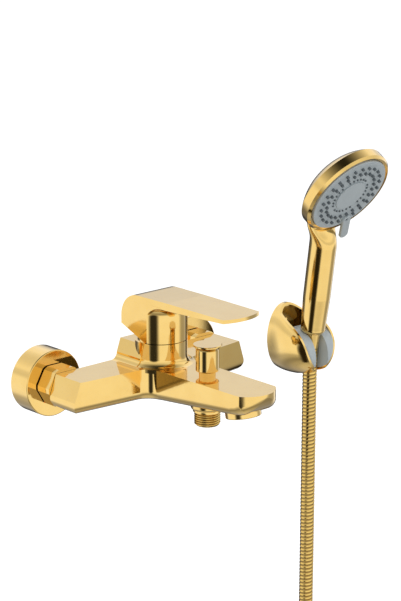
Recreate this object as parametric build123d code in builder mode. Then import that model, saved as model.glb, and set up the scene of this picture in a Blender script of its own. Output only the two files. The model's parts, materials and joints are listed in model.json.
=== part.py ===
"""Wall bath and shower mixer with a hand shower, its bracket and its hose.

Millimetres. +X runs to the right along the wall, -Y comes out of the wall and
+Z is up. The origin lies on the wall's face, midway between the two threads in
the wall. The body's axis lies a little lower, because the unions that join it
to the wall are eccentric. Heights are given from the body's axis, and each
piece is lowered to its place as it is saved.
"""
import math
import os

from build123d import *

os.makedirs("parts", exist_ok=True)

# Driving dimensions: water inlets and the wall
inlet_spacing = 150.0
half_inch_r = 10.48          # radius of a G1/2 male thread
three_quarter_r = 13.22      # radius of a G3/4 male thread
wall_stub = 14.0
eccentric_drop = 5.0
flange_r, flange_depth, flange_wall = 27.3, 20.8, 1.6
union_nut_flats = 32.0

# Driving dimensions: body
top_z, bottom_z = 13.4, -13.2
body_back_y = -36.5
arm_half, arm_front_y = 85.5, -67.8
arm_lean = 0.355             # how far the end faces lean out, per mm of drop
root_front_y = -74.7
spout_half, spout_tip_half = 21.0, 19.6
spout_corner_y, spout_tip_y = -176.0, -187.0
bow_start_y, bow_y, bow_z = -166.0, -180.0, 0.0
underside_slope, underside_round = 0.093, 8.0
tower_y, tower_r, tower_top_z = -65.35, 21.5, 32.5
base_flare = 6.0
corner_round, tip_round = 10.0, 4.0
chamber_r, chamber_floor_z = 17.7, 0.5
block_half_low, block_half_top, block_top_z = 22.4, 18.4, 30.4

# Driving dimensions: lever
pivot_z = 27.0
lever_gap = 0.6
lever_half, lever_tip_half = 20.6, 19.2
lever_top_z, lever_tip_y = 70.6, -163.0
socket_r = 20.6              # radius of the round hollow under the lever
disc_travel = 4.0

# Driving dimensions: diverter, shower outlet and aerator
diverter_y = -120.2
knob_top_z, knob_bottom_z = 39.2, 17.5
knob_r, knob_cap_r, bonnet_r = 9.25, 11.5, 6.7
nipple_bottom_z = -27.0
aerator_y, aerator_tilt, aerator_r = -160.5, 11.0, 14.1

# Driving dimensions: bracket and hand shower
bracket_x = 207.0
bracket_z = -18.0
bracket_wall = 2.2
slot_half = 7.8
axis_tilt = 7.6              # lean of the hand shower, in degrees
seam_y, seam_z = -37.2, -8.7
handle_r, handle_end_r = 12.3, 11.1
head_y, head_z, head_tilt = -78.4, 123.2, 34.2
head_r, face_r, head_depth = 43.4, 39.0, 10.6
tab_angle = 24.0
nozzle_count = 24            # in each row

# Driving dimensions: hose
hose_r, hose_bore_r = 6.6, 4.2
rib_pitch, groove_depth = 4.0, 0.7
hose_length = 1500.0
hose_low_z = -285.0
coil_r, coil_step = 62.4, 17.0

inch_x = inlet_spacing / 2


def save(piece, name):
    """Lower a finished piece to its place, name it and write it out."""
    placed = piece.part.moved(Location((0, 0, -eccentric_drop)))
    placed.label = name
    export_step(placed, f"parts/{name}.step")
    print(name, len(placed.solids()), round(placed.volume))


def upright(y, z=0.0, x=0.0):
    """The frame of a piece that is turned round a vertical axis."""
    return Plane(origin=(x, y, z), x_dir=(1, 0, 0), z_dir=(0, 0, 1))


def outward(x, z=0.0):
    """The frame of a piece that is turned round an axis out of the wall."""
    return Plane(origin=(x, 0, z), x_dir=(1, 0, 0), z_dir=(0, -1, 0))


def ring_in(frame, outer, inner, low, high):
    """A plain ring between two heights of a frame."""
    with BuildPart() as piece:
        with BuildSketch(frame.offset(low)):
            Circle(outer)
            if inner > 0:
                Circle(inner, mode=Mode.SUBTRACT)
        extrude(amount=high - low)
    return piece


def lathe(frame, outline):
    """Turn an outline of (radius, height) points round a frame's own axis."""
    with BuildPart() as piece:
        with BuildSketch(Plane(frame.origin, x_dir=frame.x_dir, z_dir=-frame.y_dir)):
            with BuildLine():
                Polyline(*outline, close=True)
            make_face()
        revolve(axis=Axis(frame.origin, frame.z_dir))
    return piece


# The wall fittings are the same on both sides.
nut_back, nut_front = 22.0, 36.2
seat_y = 29.5
washer_t = 2.0
tail_flange_r, tail_r = 12.7, 9.8
tail_bore_r = 7.0

for side, side_x in (("left", -inch_x), ("right", inch_x)):
    side_frame = outward(side_x)
    wall_frame = outward(side_x, eccentric_drop)

    with BuildPart() as flange:
        with BuildSketch(side_frame):
            Circle(flange_r)
        extrude(amount=flange_depth)
        fillet(flange.faces().sort_by(Axis.Y)[0].edges(), 0.9)
        with BuildSketch(side_frame):
            Circle(flange_r - flange_wall)
        extrude(amount=flange_depth - flange_wall, mode=Mode.SUBTRACT)
        with BuildSketch(side_frame):
            Circle(three_quarter_r + 0.4)
        extrude(amount=flange_depth + 1, mode=Mode.SUBTRACT)
    save(flange, f"wall_flange_{side}")

    with BuildPart() as eccentric:
        with BuildSketch(wall_frame.offset(-wall_stub)):
            Circle(half_inch_r)
        extrude(amount=wall_stub + 2)
        with BuildSketch(outward(side_x, eccentric_drop / 2).offset(1.5)):
            SlotCenterToCenter(eccentric_drop, 2 * half_inch_r + 3, rotation=90)
        extrude(amount=9)
        with BuildSketch(side_frame.offset(8)):
            Circle(three_quarter_r)
        extrude(amount=seat_y - 8)
        chamfer(eccentric.faces().sort_by(Axis.Y)[0].edges(), 0.8)
        with BuildSketch(wall_frame.offset(-wall_stub - 1)):
            Circle(tail_bore_r)
        extrude(amount=wall_stub + 9, mode=Mode.SUBTRACT)
        with BuildSketch(side_frame.offset(6)):
            Circle(tail_bore_r + 1.5)
        extrude(amount=seat_y, mode=Mode.SUBTRACT)
    save(eccentric, f"eccentric_union_{side}")

    with BuildPart() as union_nut:
        with BuildSketch(side_frame.offset(nut_back)):
            RegularPolygon(union_nut_flats / 2, 6, major_radius=False)
        extrude(amount=nut_front - nut_back)
        with BuildSketch(side_frame.offset(nut_back)):
            Circle(union_nut_flats / 2 + 1.4)
        extrude(amount=nut_front - nut_back, mode=Mode.INTERSECT)
        with BuildSketch(side_frame.offset(nut_back - 1)):
            Circle(three_quarter_r + 0.06)
        extrude(amount=seat_y + washer_t + washer_t + 1.1 - nut_back, mode=Mode.SUBTRACT)
        with BuildSketch(side_frame.offset(nut_back)):
            Circle(tail_r + 0.2)
        extrude(amount=nut_front, mode=Mode.SUBTRACT)
    save(union_nut, f"union_nut_{side}")

    filter_washer = ring_in(side_frame, tail_flange_r, tail_bore_r - 0.5, seat_y, seat_y + washer_t)
    save(filter_washer, f"filter_washer_{side}")

# The body: two arms, the spout, the tower and the block behind it.
arm_slope = (arm_front_y - root_front_y) / (arm_half - spout_half)
arm_reach = arm_half + arm_lean * (top_z - bottom_z) + 1
front_at_reach = arm_front_y + arm_slope * (arm_reach - arm_half)


def underside_z(y):
    """Height of the spout's underside at a distance out of the wall."""
    return bottom_z - underside_slope * (y + 80)


port_x, port_y, port_r = 8.5, tower_y + 7.0, 3.2
channel_z, channel_r = -5.2, 4.2
outlet_y = tower_y - 9.0
duct_low_z, duct_rise, duct_r = -4.0, 4.8, 3.4
valve_seat_z, valve_hole_r = -3.0, 3.6
window_z = 9.2
spout_duct_r = 2.6
bonnet_thread_r = 5.95
nipple_spigot_r, nipple_spigot_z = 8.5, -5.6
nipple_boss_r, nipple_boss_z, gasket_t = 13.3, -8.2, 0.6

aerator_frame = Plane(origin=(0, aerator_y, underside_z(aerator_y)), x_dir=(1, 0, 0),
                      z_dir=(0, -math.sin(math.radians(aerator_tilt)),
                             -math.cos(math.radians(aerator_tilt))))

with BuildPart() as mixer_body:
    with BuildSketch(Plane.XY.offset(bottom_z)):
        with BuildLine():
            Line((-arm_reach, body_back_y), (arm_reach, body_back_y))
            Line((arm_reach, body_back_y), (arm_reach, front_at_reach))
            Line((arm_reach, front_at_reach), (spout_half, root_front_y))
            Line((spout_half, root_front_y), (spout_tip_half, spout_corner_y))
            ThreePointArc((spout_tip_half, spout_corner_y), (0, spout_tip_y),
                          (-spout_tip_half, spout_corner_y))
            Line((-spout_tip_half, spout_corner_y), (-spout_half, root_front_y))
            Line((-spout_half, root_front_y), (-arm_reach, front_at_reach))
            Line((-arm_reach, front_at_reach), (-arm_reach, body_back_y))
        make_face()
    extrude(amount=top_z - bottom_z)
    inner_corners = mixer_body.edges().filter_by(Axis.Z).filter_by(
        lambda e: abs(e.center().Y - root_front_y) < 1 and abs(e.center().X) < spout_half + 1)
    fillet(inner_corners, corner_round)
    tip_corners = mixer_body.edges().filter_by(Axis.Z).filter_by(
        lambda e: abs(e.center().Y - spout_corner_y) < 1)
    fillet(tip_corners, tip_round)
    with BuildSketch(Plane.XZ.offset(-body_back_y - 1)):
        with BuildLine():
            Polyline((-arm_half, top_z), (arm_half, top_z),
                     (arm_half + arm_lean * (top_z - bottom_z), bottom_z),
                     (-arm_half - arm_lean * (top_z - bottom_z), bottom_z), close=True)
        make_face()
    extrude(amount=200, mode=Mode.INTERSECT)
    with BuildSketch(Plane.YZ.offset(-100)):
        with BuildLine():
            Line((0, bottom_z), (-80, bottom_z))
            Line((-80, bottom_z), (bow_start_y, underside_z(bow_start_y)))
            ThreePointArc((bow_start_y, underside_z(bow_start_y)), (bow_y, bow_z),
                          (spout_tip_y - 0.5, top_z))
            Line((spout_tip_y - 0.5, top_z), (-200, top_z))
            Line((-200, top_z), (-200, bottom_z - 5))
            Line((-200, bottom_z - 5), (0, bottom_z - 5))
            Line((0, bottom_z - 5), (0, bottom_z))
        make_face()
    extrude(amount=200, mode=Mode.SUBTRACT)
    undersides = mixer_body.faces().filter_by(
        lambda f: f.normal_at(f.center()).Z < -0.2 and f.center().Z < top_z - 5)
    low_edges = undersides.edges().filter_by(
        lambda e: e.center().Z < top_z - 0.5 and (abs(e.center().X) > 1 or e.center().Y > -50))
    fillet(low_edges, underside_round)

    with BuildSketch(Plane.XZ.offset(-body_back_y)):
        with BuildLine():
            Line((-block_half_top, block_top_z), (block_half_top, block_top_z))
            Line((block_half_top, block_top_z), (block_half_low, top_z + base_flare))
            RadiusArc((block_half_low, top_z + base_flare), (block_half_low + base_flare, top_z),
                      -base_flare)
            Line((block_half_low + base_flare, top_z), (block_half_low + base_flare, top_z - 3))
            Line((block_half_low + base_flare, top_z - 3), (-block_half_low - base_flare, top_z - 3))
            Line((-block_half_low - base_flare, top_z - 3), (-block_half_low - base_flare, top_z))
            RadiusArc((-block_half_low - base_flare, top_z), (-block_half_low, top_z + base_flare),
                      -base_flare)
            Line((-block_half_low, top_z + base_flare), (-block_half_top, block_top_z))
        make_face()
    extrude(amount=body_back_y - tower_y)
    with BuildSketch(Plane.YZ):
        with BuildLine():
            Line((tower_y, top_z - 3), (tower_y, tower_top_z))
            Line((tower_y, tower_top_z), (tower_y - tower_r, tower_top_z))
            Line((tower_y - tower_r, tower_top_z), (tower_y - tower_r, top_z + base_flare))
            RadiusArc((tower_y - tower_r, top_z + base_flare),
                      (tower_y - tower_r - base_flare, top_z), base_flare)
            Line((tower_y - tower_r - base_flare, top_z), (tower_y - tower_r - base_flare, top_z - 3))
            Line((tower_y - tower_r - base_flare, top_z - 3), (tower_y, top_z - 3))
        make_face()
    revolve(axis=Axis((0, tower_y, 0), (0, 0, 1)))

    # Inlet tails, each with the flange that its union nut pulls on
    for side_x in (-inch_x, inch_x):
        with BuildSketch(outward(side_x).offset(seat_y + 2 * washer_t)):
            Circle(tail_r)
        extrude(amount=-body_back_y - seat_y - 2 * washer_t + 3)
        with BuildSketch(outward(side_x).offset(seat_y + washer_t)):
            Circle(tail_flange_r)
        extrude(amount=washer_t)

    # Chamber for the cartridge, with a wider thread for its nut
    with BuildSketch(upright(tower_y, chamber_floor_z)):
        Circle(chamber_r)
    extrude(amount=60, mode=Mode.SUBTRACT)
    with BuildSketch(upright(tower_y, 21.5)):
        Circle(19.0)
    extrude(amount=60, mode=Mode.SUBTRACT)

    # Waterways: inlets to the chamber floor, chamber to the spout
    for side_x in (-1, 1):
        with BuildSketch(outward(side_x * inch_x).offset(seat_y)):
            Circle(tail_bore_r)
        extrude(amount=-port_y + 2 - seat_y, mode=Mode.SUBTRACT)
        with BuildSketch(Plane(origin=(side_x * port_x, port_y, channel_z), x_dir=(0, 1, 0),
                               z_dir=(side_x, 0, 0))):
            Circle(channel_r)
        extrude(amount=inch_x - port_x, mode=Mode.SUBTRACT)
        with BuildSketch(upright(port_y, channel_z, side_x * port_x)):
            Circle(port_r)
        extrude(amount=-channel_z + 3, mode=Mode.SUBTRACT)
    with BuildSketch(upright(outlet_y, duct_low_z)):
        Circle(port_r)
    extrude(amount=-duct_low_z + 3, mode=Mode.SUBTRACT)
    with BuildSketch(Plane(origin=(0, outlet_y + 3, duct_low_z), x_dir=(1, 0, 0),
                           z_dir=(0, diverter_y - outlet_y, duct_rise))):
        Circle(duct_r)
    extrude(amount=outlet_y - diverter_y + 3, mode=Mode.SUBTRACT)
    with BuildSketch(Plane(origin=(0, diverter_y, window_z), x_dir=(1, 0, 0), z_dir=(0, -1, 0))):
        Circle(spout_duct_r)
    extrude(amount=diverter_y - aerator_y + 4, mode=Mode.SUBTRACT)

    # Diverter chamber from above, and the shower nipple's hole from below
    with BuildSketch(upright(diverter_y, valve_seat_z)):
        Circle(bonnet_thread_r + 0.05)
    extrude(amount=30, mode=Mode.SUBTRACT)
    with BuildSketch(upright(diverter_y, window_z - 1.9)):
        Circle(bonnet_thread_r + 1.6)
    extrude(amount=3.8, mode=Mode.SUBTRACT)
    with BuildSketch(upright(diverter_y, nipple_bottom_z)):
        Circle(nipple_spigot_r + 0.05)
    extrude(amount=nipple_spigot_z + 0.2 - nipple_bottom_z, mode=Mode.SUBTRACT)
    with BuildSketch(upright(diverter_y, nipple_bottom_z)):
        Circle(nipple_boss_r + 0.3)
    extrude(amount=nipple_boss_z + gasket_t - nipple_bottom_z, mode=Mode.SUBTRACT)
    with BuildSketch(upright(diverter_y, nipple_spigot_z - 1)):
        Circle(valve_hole_r)
    extrude(amount=valve_seat_z - nipple_spigot_z + 2, mode=Mode.SUBTRACT)

    # Seat of the aerator, tipped a little towards the bather
    with BuildSketch(aerator_frame.offset(-14.5)):
        Circle(5.0)
    extrude(amount=7, mode=Mode.SUBTRACT)
    with BuildSketch(aerator_frame.offset(-8.5)):
        Circle(12.0)
    extrude(amount=20, mode=Mode.SUBTRACT)
    with BuildSketch(aerator_frame.offset(-0.6)):
        Circle(aerator_r + 0.4)
    extrude(amount=12, mode=Mode.SUBTRACT)
save(mixer_body, "mixer_body")


# Cartridge: housing, seals, ceramic discs and what turns them
housing_shoulder_z, housing_top_z = 21.4, 31.0
neck_r, neck_bore_r = 13.2, 10.5
cavity_r, cavity_low_z, cavity_top_z = 15.2, 6.5, 19.6
disc_r, disc_t = 15.0, 3.2
moving_r, moving_t, carrier_t = 11.5, 2.7, 2.9
tip_z, tip_r = 15.2, 2.3
stem_half_x, stem_half_y, stem_top_z = 3.8, 3.5, 56.0
ports = ((-port_x, 7.0), (port_x, 7.0), (0, -9.0))

with BuildPart() as cartridge_housing:
    with BuildSketch(upright(tower_y, chamber_floor_z + 0.1)):
        Circle(chamber_r - 0.15)
    extrude(amount=housing_shoulder_z - chamber_floor_z - 0.1)
    with BuildSketch(upright(tower_y, housing_shoulder_z)):
        Circle(neck_r)
    extrude(amount=housing_top_z - housing_shoulder_z)
    with BuildSketch(upright(tower_y, cavity_low_z)):
        Circle(cavity_r)
    extrude(amount=cavity_top_z - cavity_low_z, mode=Mode.SUBTRACT)
    with BuildSketch(upright(tower_y, cavity_low_z)):
        Circle(neck_bore_r)
    extrude(amount=housing_top_z - cavity_low_z, mode=Mode.SUBTRACT)
    with BuildSketch(upright(tower_y, 0)):
        with Locations(*ports):
            Circle(port_r - 0.2)
    extrude(amount=cavity_low_z + 1, mode=Mode.SUBTRACT)
    with BuildSketch(upright(tower_y, 0)):
        with Locations(*ports):
            Circle(port_r + 1.6)
    extrude(amount=2.2, mode=Mode.SUBTRACT)
save(cartridge_housing, "cartridge_housing")

with BuildPart() as port_seals:
    with BuildSketch(upright(tower_y, chamber_floor_z)):
        with Locations(*ports):
            Circle(port_r + 1.5)
            Circle(port_r, mode=Mode.SUBTRACT)
    extrude(amount=1.7)
save(port_seals, "port_seals")

with BuildPart() as fixed_disc:
    with BuildSketch(upright(tower_y, cavity_low_z)):
        Circle(disc_r)
        with Locations(*ports):
            Circle(port_r - 0.2, mode=Mode.SUBTRACT)
    extrude(amount=disc_t)
save(fixed_disc, "fixed_ceramic_disc")

moving_y = tower_y + disc_travel / 2
moving_z = cavity_low_z + disc_t + 0.05
with BuildPart() as moving_disc:
    with BuildSketch(upright(moving_y, moving_z)):
        Circle(moving_r)
        with Locations((0, -1)):
            SlotCenterToCenter(9, 5.5, mode=Mode.SUBTRACT)
    extrude(amount=1.6)
    with BuildSketch(upright(moving_y, moving_z + 1.6)):
        Circle(moving_r)
    extrude(amount=moving_t - 1.6)
save(moving_disc, "moving_ceramic_disc")

carrier_z = moving_z + moving_t
with BuildPart() as disc_carrier:
    with BuildSketch(upright(moving_y, carrier_z)):
        Circle(moving_r)
        with Locations((0, -disc_travel / 2)):
            Circle(tip_r + 0.4, mode=Mode.SUBTRACT)
    extrude(amount=carrier_t)
save(disc_carrier, "disc_carrier")

guide_low_z = carrier_z + carrier_t + 0.3
with BuildPart() as stem_guide:
    with BuildSketch(upright(tower_y, guide_low_z)):
        Circle(cavity_r - 0.35)
    extrude(amount=cavity_top_z - 0.35 - guide_low_z)
    with BuildSketch(upright(tower_y, guide_low_z)):
        Circle(neck_bore_r - 0.08)
    extrude(amount=housing_top_z - 0.4 - guide_low_z)
    with BuildSketch(upright(tower_y, guide_low_z)):
        Rectangle(2 * stem_half_x + 0.7, 17)
    extrude(amount=40, mode=Mode.SUBTRACT)
    with BuildSketch(Plane(origin=(-20, tower_y, pivot_z), x_dir=(0, 1, 0), z_dir=(1, 0, 0))):
        Circle(1.5)
    extrude(amount=40, mode=Mode.SUBTRACT)
save(stem_guide, "stem_guide")

pin_half = 9.0
stem_pin = ring_in(Plane(origin=(-pin_half, tower_y, pivot_z), x_dir=(0, 1, 0), z_dir=(1, 0, 0)),
                   1.48, 0, 0, 2 * pin_half)
save(stem_pin, "stem_pin")

with BuildPart() as cartridge_stem:
    with BuildSketch(upright(tower_y, pivot_z - 5)):
        Rectangle(2 * stem_half_x, 2 * stem_half_y)
    extrude(amount=stem_top_z - pivot_z + 5)
    with BuildSketch(upright(tower_y, tip_z + 1)):
        Circle(1.9)
    extrude(amount=pivot_z - 5 - tip_z - 1)
    with Locations((0, tower_y, tip_z)):
        Sphere(tip_r)
    with BuildSketch(Plane(origin=(-20, tower_y, pivot_z), x_dir=(0, 1, 0), z_dir=(1, 0, 0))):
        Circle(1.54)
    extrude(amount=40, mode=Mode.SUBTRACT)
save(cartridge_stem, "cartridge_stem")

with BuildPart() as cartridge_nut:
    with BuildSketch(upright(tower_y, housing_shoulder_z + 0.1)):
        Circle(18.95)
    extrude(amount=31.5 - housing_shoulder_z - 0.1)
    with BuildSketch(upright(tower_y, 31.5)):
        RegularPolygon(14, 6, major_radius=False)
    extrude(amount=3)
    with BuildSketch(upright(tower_y, 20)):
        Circle(neck_r + 0.15)
    extrude(amount=20, mode=Mode.SUBTRACT)
save(cartridge_nut, "cartridge_nut")

collar_r, collar_wall, collar_rise = 20.0, 1.1, 13.5
tower_rise = tower_top_z - pivot_z


def on_sphere(radius, rise):
    """Distance from the axis of a point on a sphere round the pivot."""
    return math.sqrt(radius ** 2 - rise ** 2)


with BuildPart() as dome_collar:
    with BuildSketch(Plane.YZ):
        with BuildLine():
            inner_foot = tower_y - on_sphere(collar_r - collar_wall, tower_rise)
            outer_foot = tower_y - on_sphere(collar_r, tower_rise)
            inner_top = tower_y - on_sphere(collar_r - collar_wall, collar_rise)
            outer_top = tower_y - on_sphere(collar_r, collar_rise)
            Line((inner_foot, 31.6), (tower_y - 18.9, 31.6))
            Line((tower_y - 18.9, 31.6), (tower_y - 18.9, tower_top_z))
            Line((tower_y - 18.9, tower_top_z), (outer_foot, tower_top_z))
            RadiusArc((outer_foot, tower_top_z), (outer_top, pivot_z + collar_rise), collar_r)
            Line((outer_top, pivot_z + collar_rise), (inner_top, pivot_z + collar_rise))
            RadiusArc((inner_top, pivot_z + collar_rise), (inner_foot, tower_top_z),
                      -(collar_r - collar_wall))
            Line((inner_foot, tower_top_z), (inner_foot, 31.6))
        make_face()
    revolve(axis=Axis((0, tower_y, 0), (0, 0, 1)))
save(dome_collar, "dome_collar")

# Lever: a flat handle on a round skirt, hollowed to swing over the collar
skirt_z = tower_top_z + lever_gap
rear_y, rear_round = -40.6, 20.0
undercut_y, undercut_slope = tower_y - 3.0, 0.4
neck_front_y = tower_y - tower_r
under_plate_z, inner_round = 64.5, 9.0
tip_t = 2.8
tip_round_y = lever_tip_y + 5

with BuildPart() as flare:
    with BuildSketch(Plane.YZ):
        with BuildLine():
            Line((neck_front_y + 2, under_plate_z + 1), (neck_front_y + 2, under_plate_z - inner_round))
            Line((neck_front_y + 2, under_plate_z - inner_round),
                 (neck_front_y, under_plate_z - inner_round))
            RadiusArc((neck_front_y, under_plate_z - inner_round),
                      (neck_front_y - inner_round, under_plate_z), -inner_round)
            Line((neck_front_y - inner_round, under_plate_z),
                 (neck_front_y - inner_round, under_plate_z + 1))
            Line((neck_front_y - inner_round, under_plate_z + 1),
                 (neck_front_y + 2, under_plate_z + 1))
        make_face()
    revolve(axis=Axis((0, tower_y, 0), (0, 0, 1)))
    with BuildSketch(upright(0, 0)):
        with Locations((0, tower_y - 25)):
            Rectangle(2 * lever_half - 0.3, 50)
    extrude(amount=100, mode=Mode.INTERSECT)

with BuildPart() as lever_handle:
    with BuildSketch(upright(0, skirt_z)):
        with Locations((0, tower_y)):
            Circle(tower_r)
        with Locations((0, (tower_y + rear_y) / 2)):
            Rectangle(2 * lever_half, rear_y - tower_y)
        with Locations((0, tower_y)):
            Rectangle(2 * lever_half, 60, mode=Mode.INTERSECT)
    extrude(amount=lever_top_z - skirt_z)
    with BuildSketch(Plane.YZ.offset(-30)):
        with BuildLine():
            Line((-120, skirt_z), (undercut_y, skirt_z))
            Line((undercut_y, skirt_z),
                 (rear_y, skirt_z + undercut_slope * (rear_y - undercut_y)))
            Line((rear_y, skirt_z + undercut_slope * (rear_y - undercut_y)),
                 (rear_y, lever_top_z - rear_round))
            RadiusArc((rear_y, lever_top_z - rear_round), (rear_y - rear_round, lever_top_z),
                      -rear_round)
            Line((rear_y - rear_round, lever_top_z), (-120, lever_top_z))
            Line((-120, lever_top_z), (-120, skirt_z))
        make_face()
    extrude(amount=60, mode=Mode.INTERSECT)
    add(flare.part)
    with BuildSketch(upright(0, under_plate_z)):
        with BuildLine():
            Line((-lever_half, rear_y - rear_round), (lever_half, rear_y - rear_round))
            Line((lever_half, rear_y - rear_round), (lever_tip_half, tip_round_y))
            ThreePointArc((lever_tip_half, tip_round_y), (0, lever_tip_y), (-lever_tip_half, tip_round_y))
            Line((-lever_tip_half, tip_round_y), (-lever_half, rear_y - rear_round))
        make_face()
    extrude(amount=lever_top_z - under_plate_z)
    with BuildSketch(Plane.YZ.offset(-30)):
        with BuildLine():
            Polyline((-95, under_plate_z - 1), (-95, under_plate_z),
                     (lever_tip_y - 1, lever_top_z - 1 - tip_t), (lever_tip_y - 1, under_plate_z - 1),
                     close=True)
        make_face()
        with BuildLine():
            Polyline((-95, lever_top_z), (lever_tip_y - 1, lever_top_z - 1),
                     (lever_tip_y - 1, lever_top_z + 1), (-95, lever_top_z + 1), close=True)
        make_face()
    extrude(amount=60, mode=Mode.SUBTRACT)
    with Locations((0, tower_y, pivot_z)):
        Sphere(socket_r, mode=Mode.SUBTRACT)
    with BuildSketch(upright(tower_y, pivot_z)):
        Rectangle(2 * stem_half_x + 0.1, 2 * stem_half_y + 0.1)
    extrude(amount=stem_top_z + 0.4 - pivot_z, mode=Mode.SUBTRACT)
    with BuildSketch(Plane.XZ.offset(-rear_y - 2)):
        with Locations((0, 52)):
            Circle(2.5)
    extrude(amount=rear_y - tower_y - stem_half_y + 3, mode=Mode.SUBTRACT)
    with BuildSketch(Plane.XZ.offset(-rear_y - 2)):
        with Locations((0, 52)):
            Circle(3.2)
    extrude(amount=5.2, mode=Mode.SUBTRACT)
save(lever_handle, "lever_handle")

with BuildPart() as grub_screw:
    with BuildSketch(Plane.XZ.offset(-tower_y - stem_half_y - 8.1)):
        with Locations((0, 52)):
            Circle(2.48)
    extrude(amount=8)
    with BuildSketch(Plane.XZ.offset(-tower_y - stem_half_y - 8.1)):
        with Locations((0, 52)):
            RegularPolygon(1.25, 6, major_radius=False)
    extrude(amount=3, mode=Mode.SUBTRACT)
save(grub_screw, "lever_grub_screw")

with BuildPart() as lever_plug:
    with BuildSketch(Plane.XZ.offset(-rear_y - 0.3)):
        with Locations((0, 52)):
            Circle(3.15)
    extrude(amount=3.3)
    chamfer(lever_plug.faces().sort_by(Axis.Y)[-1].edges(), 0.4)
save(lever_plug, "lever_plug")

# Diverter: a pull knob on a rod, whose two seals close one way or the other
bonnet_low_z, bonnet_top_z = 7.0, 31.0
bonnet_bore_r, bonnet_wall_z = 4.7, 27.2
rod_r, rod_shoulder_r, rod_shoulder_z = 2.5, 4.4, 12.4
valve_low_z, valve_high_z = -1.8, -0.2
lower_seal_z, seal_t, seal_r = valve_seat_z, 1.1, 5.0
rod_pin_r = 1.65
diverter_frame = upright(diverter_y)
diverter_half = Plane(origin=(0, diverter_y, 0), x_dir=(0, 1, 0), z_dir=(1, 0, 0))

bonnet_seat_r, seat_low_z, seat_high_z, o_ring_seat_r = 4.5, 28.4, 29.8, 3.95
with BuildPart() as diverter_bonnet:
    with BuildSketch(diverter_half):
        with BuildLine():
            Polyline((bonnet_seat_r, bonnet_low_z), (bonnet_thread_r, bonnet_low_z),
                     (bonnet_thread_r, top_z), (bonnet_r, top_z), (bonnet_r, bonnet_top_z - 0.5),
                     (bonnet_r - 0.5, bonnet_top_z), (rod_r + 0.05, bonnet_top_z),
                     (rod_r + 0.05, seat_high_z), (o_ring_seat_r, seat_high_z),
                     (o_ring_seat_r, seat_low_z), (rod_r + 0.05, seat_low_z),
                     (rod_r + 0.05, bonnet_wall_z), (bonnet_bore_r, bonnet_wall_z),
                     (bonnet_bore_r, bonnet_low_z + 1.2), (bonnet_seat_r, bonnet_low_z + 1.2),
                     close=True)
        make_face()
    revolve(axis=Axis((0, diverter_y, 0), (0, 0, 1)))
    for window_x, window_y in ((1, 0), (0, 1), (-1, 0), (0, -1)):
        with BuildSketch(Plane(origin=(0, diverter_y, window_z + 0.6), x_dir=(window_y, -window_x, 0),
                               z_dir=(window_x, window_y, 0))):
            Circle(1.1)
        extrude(amount=9, mode=Mode.SUBTRACT)
save(diverter_bonnet, "diverter_bonnet")

with BuildPart() as rod_o_ring:
    with BuildSketch(diverter_half):
        with Locations((3.25, 29.1)):
            Circle(0.66)
    revolve(axis=Axis((0, diverter_y, 0), (0, 0, 1)))
save(rod_o_ring, "rod_o_ring")

diverter_rod = lathe(diverter_frame, (
    (0, -4.2), (2.6, -4.2), (2.6, lower_seal_z), (rod_pin_r, lower_seal_z),
    (rod_pin_r, 0.9), (rod_r, 0.9), (rod_r, rod_shoulder_z), (rod_shoulder_r, rod_shoulder_z),
    (rod_shoulder_r, rod_shoulder_z + 1.2), (rod_r, rod_shoulder_z + 1.2), (rod_r, 36.3), (0, 36.3)))
save(diverter_rod, "diverter_rod")

diverter_valve = ring_in(diverter_frame, 5.2, rod_pin_r + 0.02, valve_low_z, valve_high_z)
save(diverter_valve, "diverter_valve")

with BuildPart() as diverter_seals:
    for seal_low in (lower_seal_z, valve_high_z):
        with BuildSketch(diverter_frame.offset(seal_low)):
            Circle(seal_r)
            Circle(rod_pin_r + 0.02, mode=Mode.SUBTRACT)
        extrude(amount=seal_t)
save(diverter_seals, "diverter_seals")

spring_r, spring_wire_r, spring_turns = 3.7, 0.4, 5
spring_low_z = rod_shoulder_z + 1.2 + spring_wire_r + 0.05
spring_rise = bonnet_wall_z - spring_wire_r - 0.05 - spring_low_z
with BuildPart() as diverter_spring:
    with BuildLine():
        Helix(pitch=spring_rise / spring_turns, height=spring_rise, radius=spring_r,
              center=(0, diverter_y, spring_low_z))
    with BuildSketch(Plane(origin=(spring_r, diverter_y, spring_low_z), z_dir=(0, 1, 0))):
        Circle(spring_wire_r)
    sweep(is_frenet=True)
save(diverter_spring, "diverter_spring")

with BuildPart() as diverter_knob:
    with BuildSketch(diverter_half):
        with BuildLine():
            Line((0, knob_bottom_z), (knob_r - 0.8, knob_bottom_z))
            RadiusArc((knob_r - 0.8, knob_bottom_z), (knob_r, knob_bottom_z + 0.8), -0.8)
            Line((knob_r, knob_bottom_z + 0.8), (knob_r, knob_top_z - 4.2))
            RadiusArc((knob_r, knob_top_z - 4.2), (knob_cap_r, knob_top_z - 1.3), 3.6)
            Line((knob_cap_r, knob_top_z - 1.3), (knob_cap_r, knob_top_z - 0.4))
            Line((knob_cap_r, knob_top_z - 0.4), (knob_cap_r - 0.4, knob_top_z))
            Line((knob_cap_r - 0.4, knob_top_z), (0, knob_top_z))
            Line((0, knob_top_z), (0, knob_bottom_z))
        make_face()
    revolve(axis=Axis((0, diverter_y, 0), (0, 0, 1)))
    with BuildSketch(diverter_frame.offset(knob_bottom_z - 1)):
        Circle(bonnet_r + 0.08)
    extrude(amount=33 - knob_bottom_z + 1, mode=Mode.SUBTRACT)
    with BuildSketch(diverter_frame.offset(30)):
        Circle(rod_r + 0.02)
    extrude(amount=6.4, mode=Mode.SUBTRACT)
save(diverter_knob, "diverter_knob")

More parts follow.
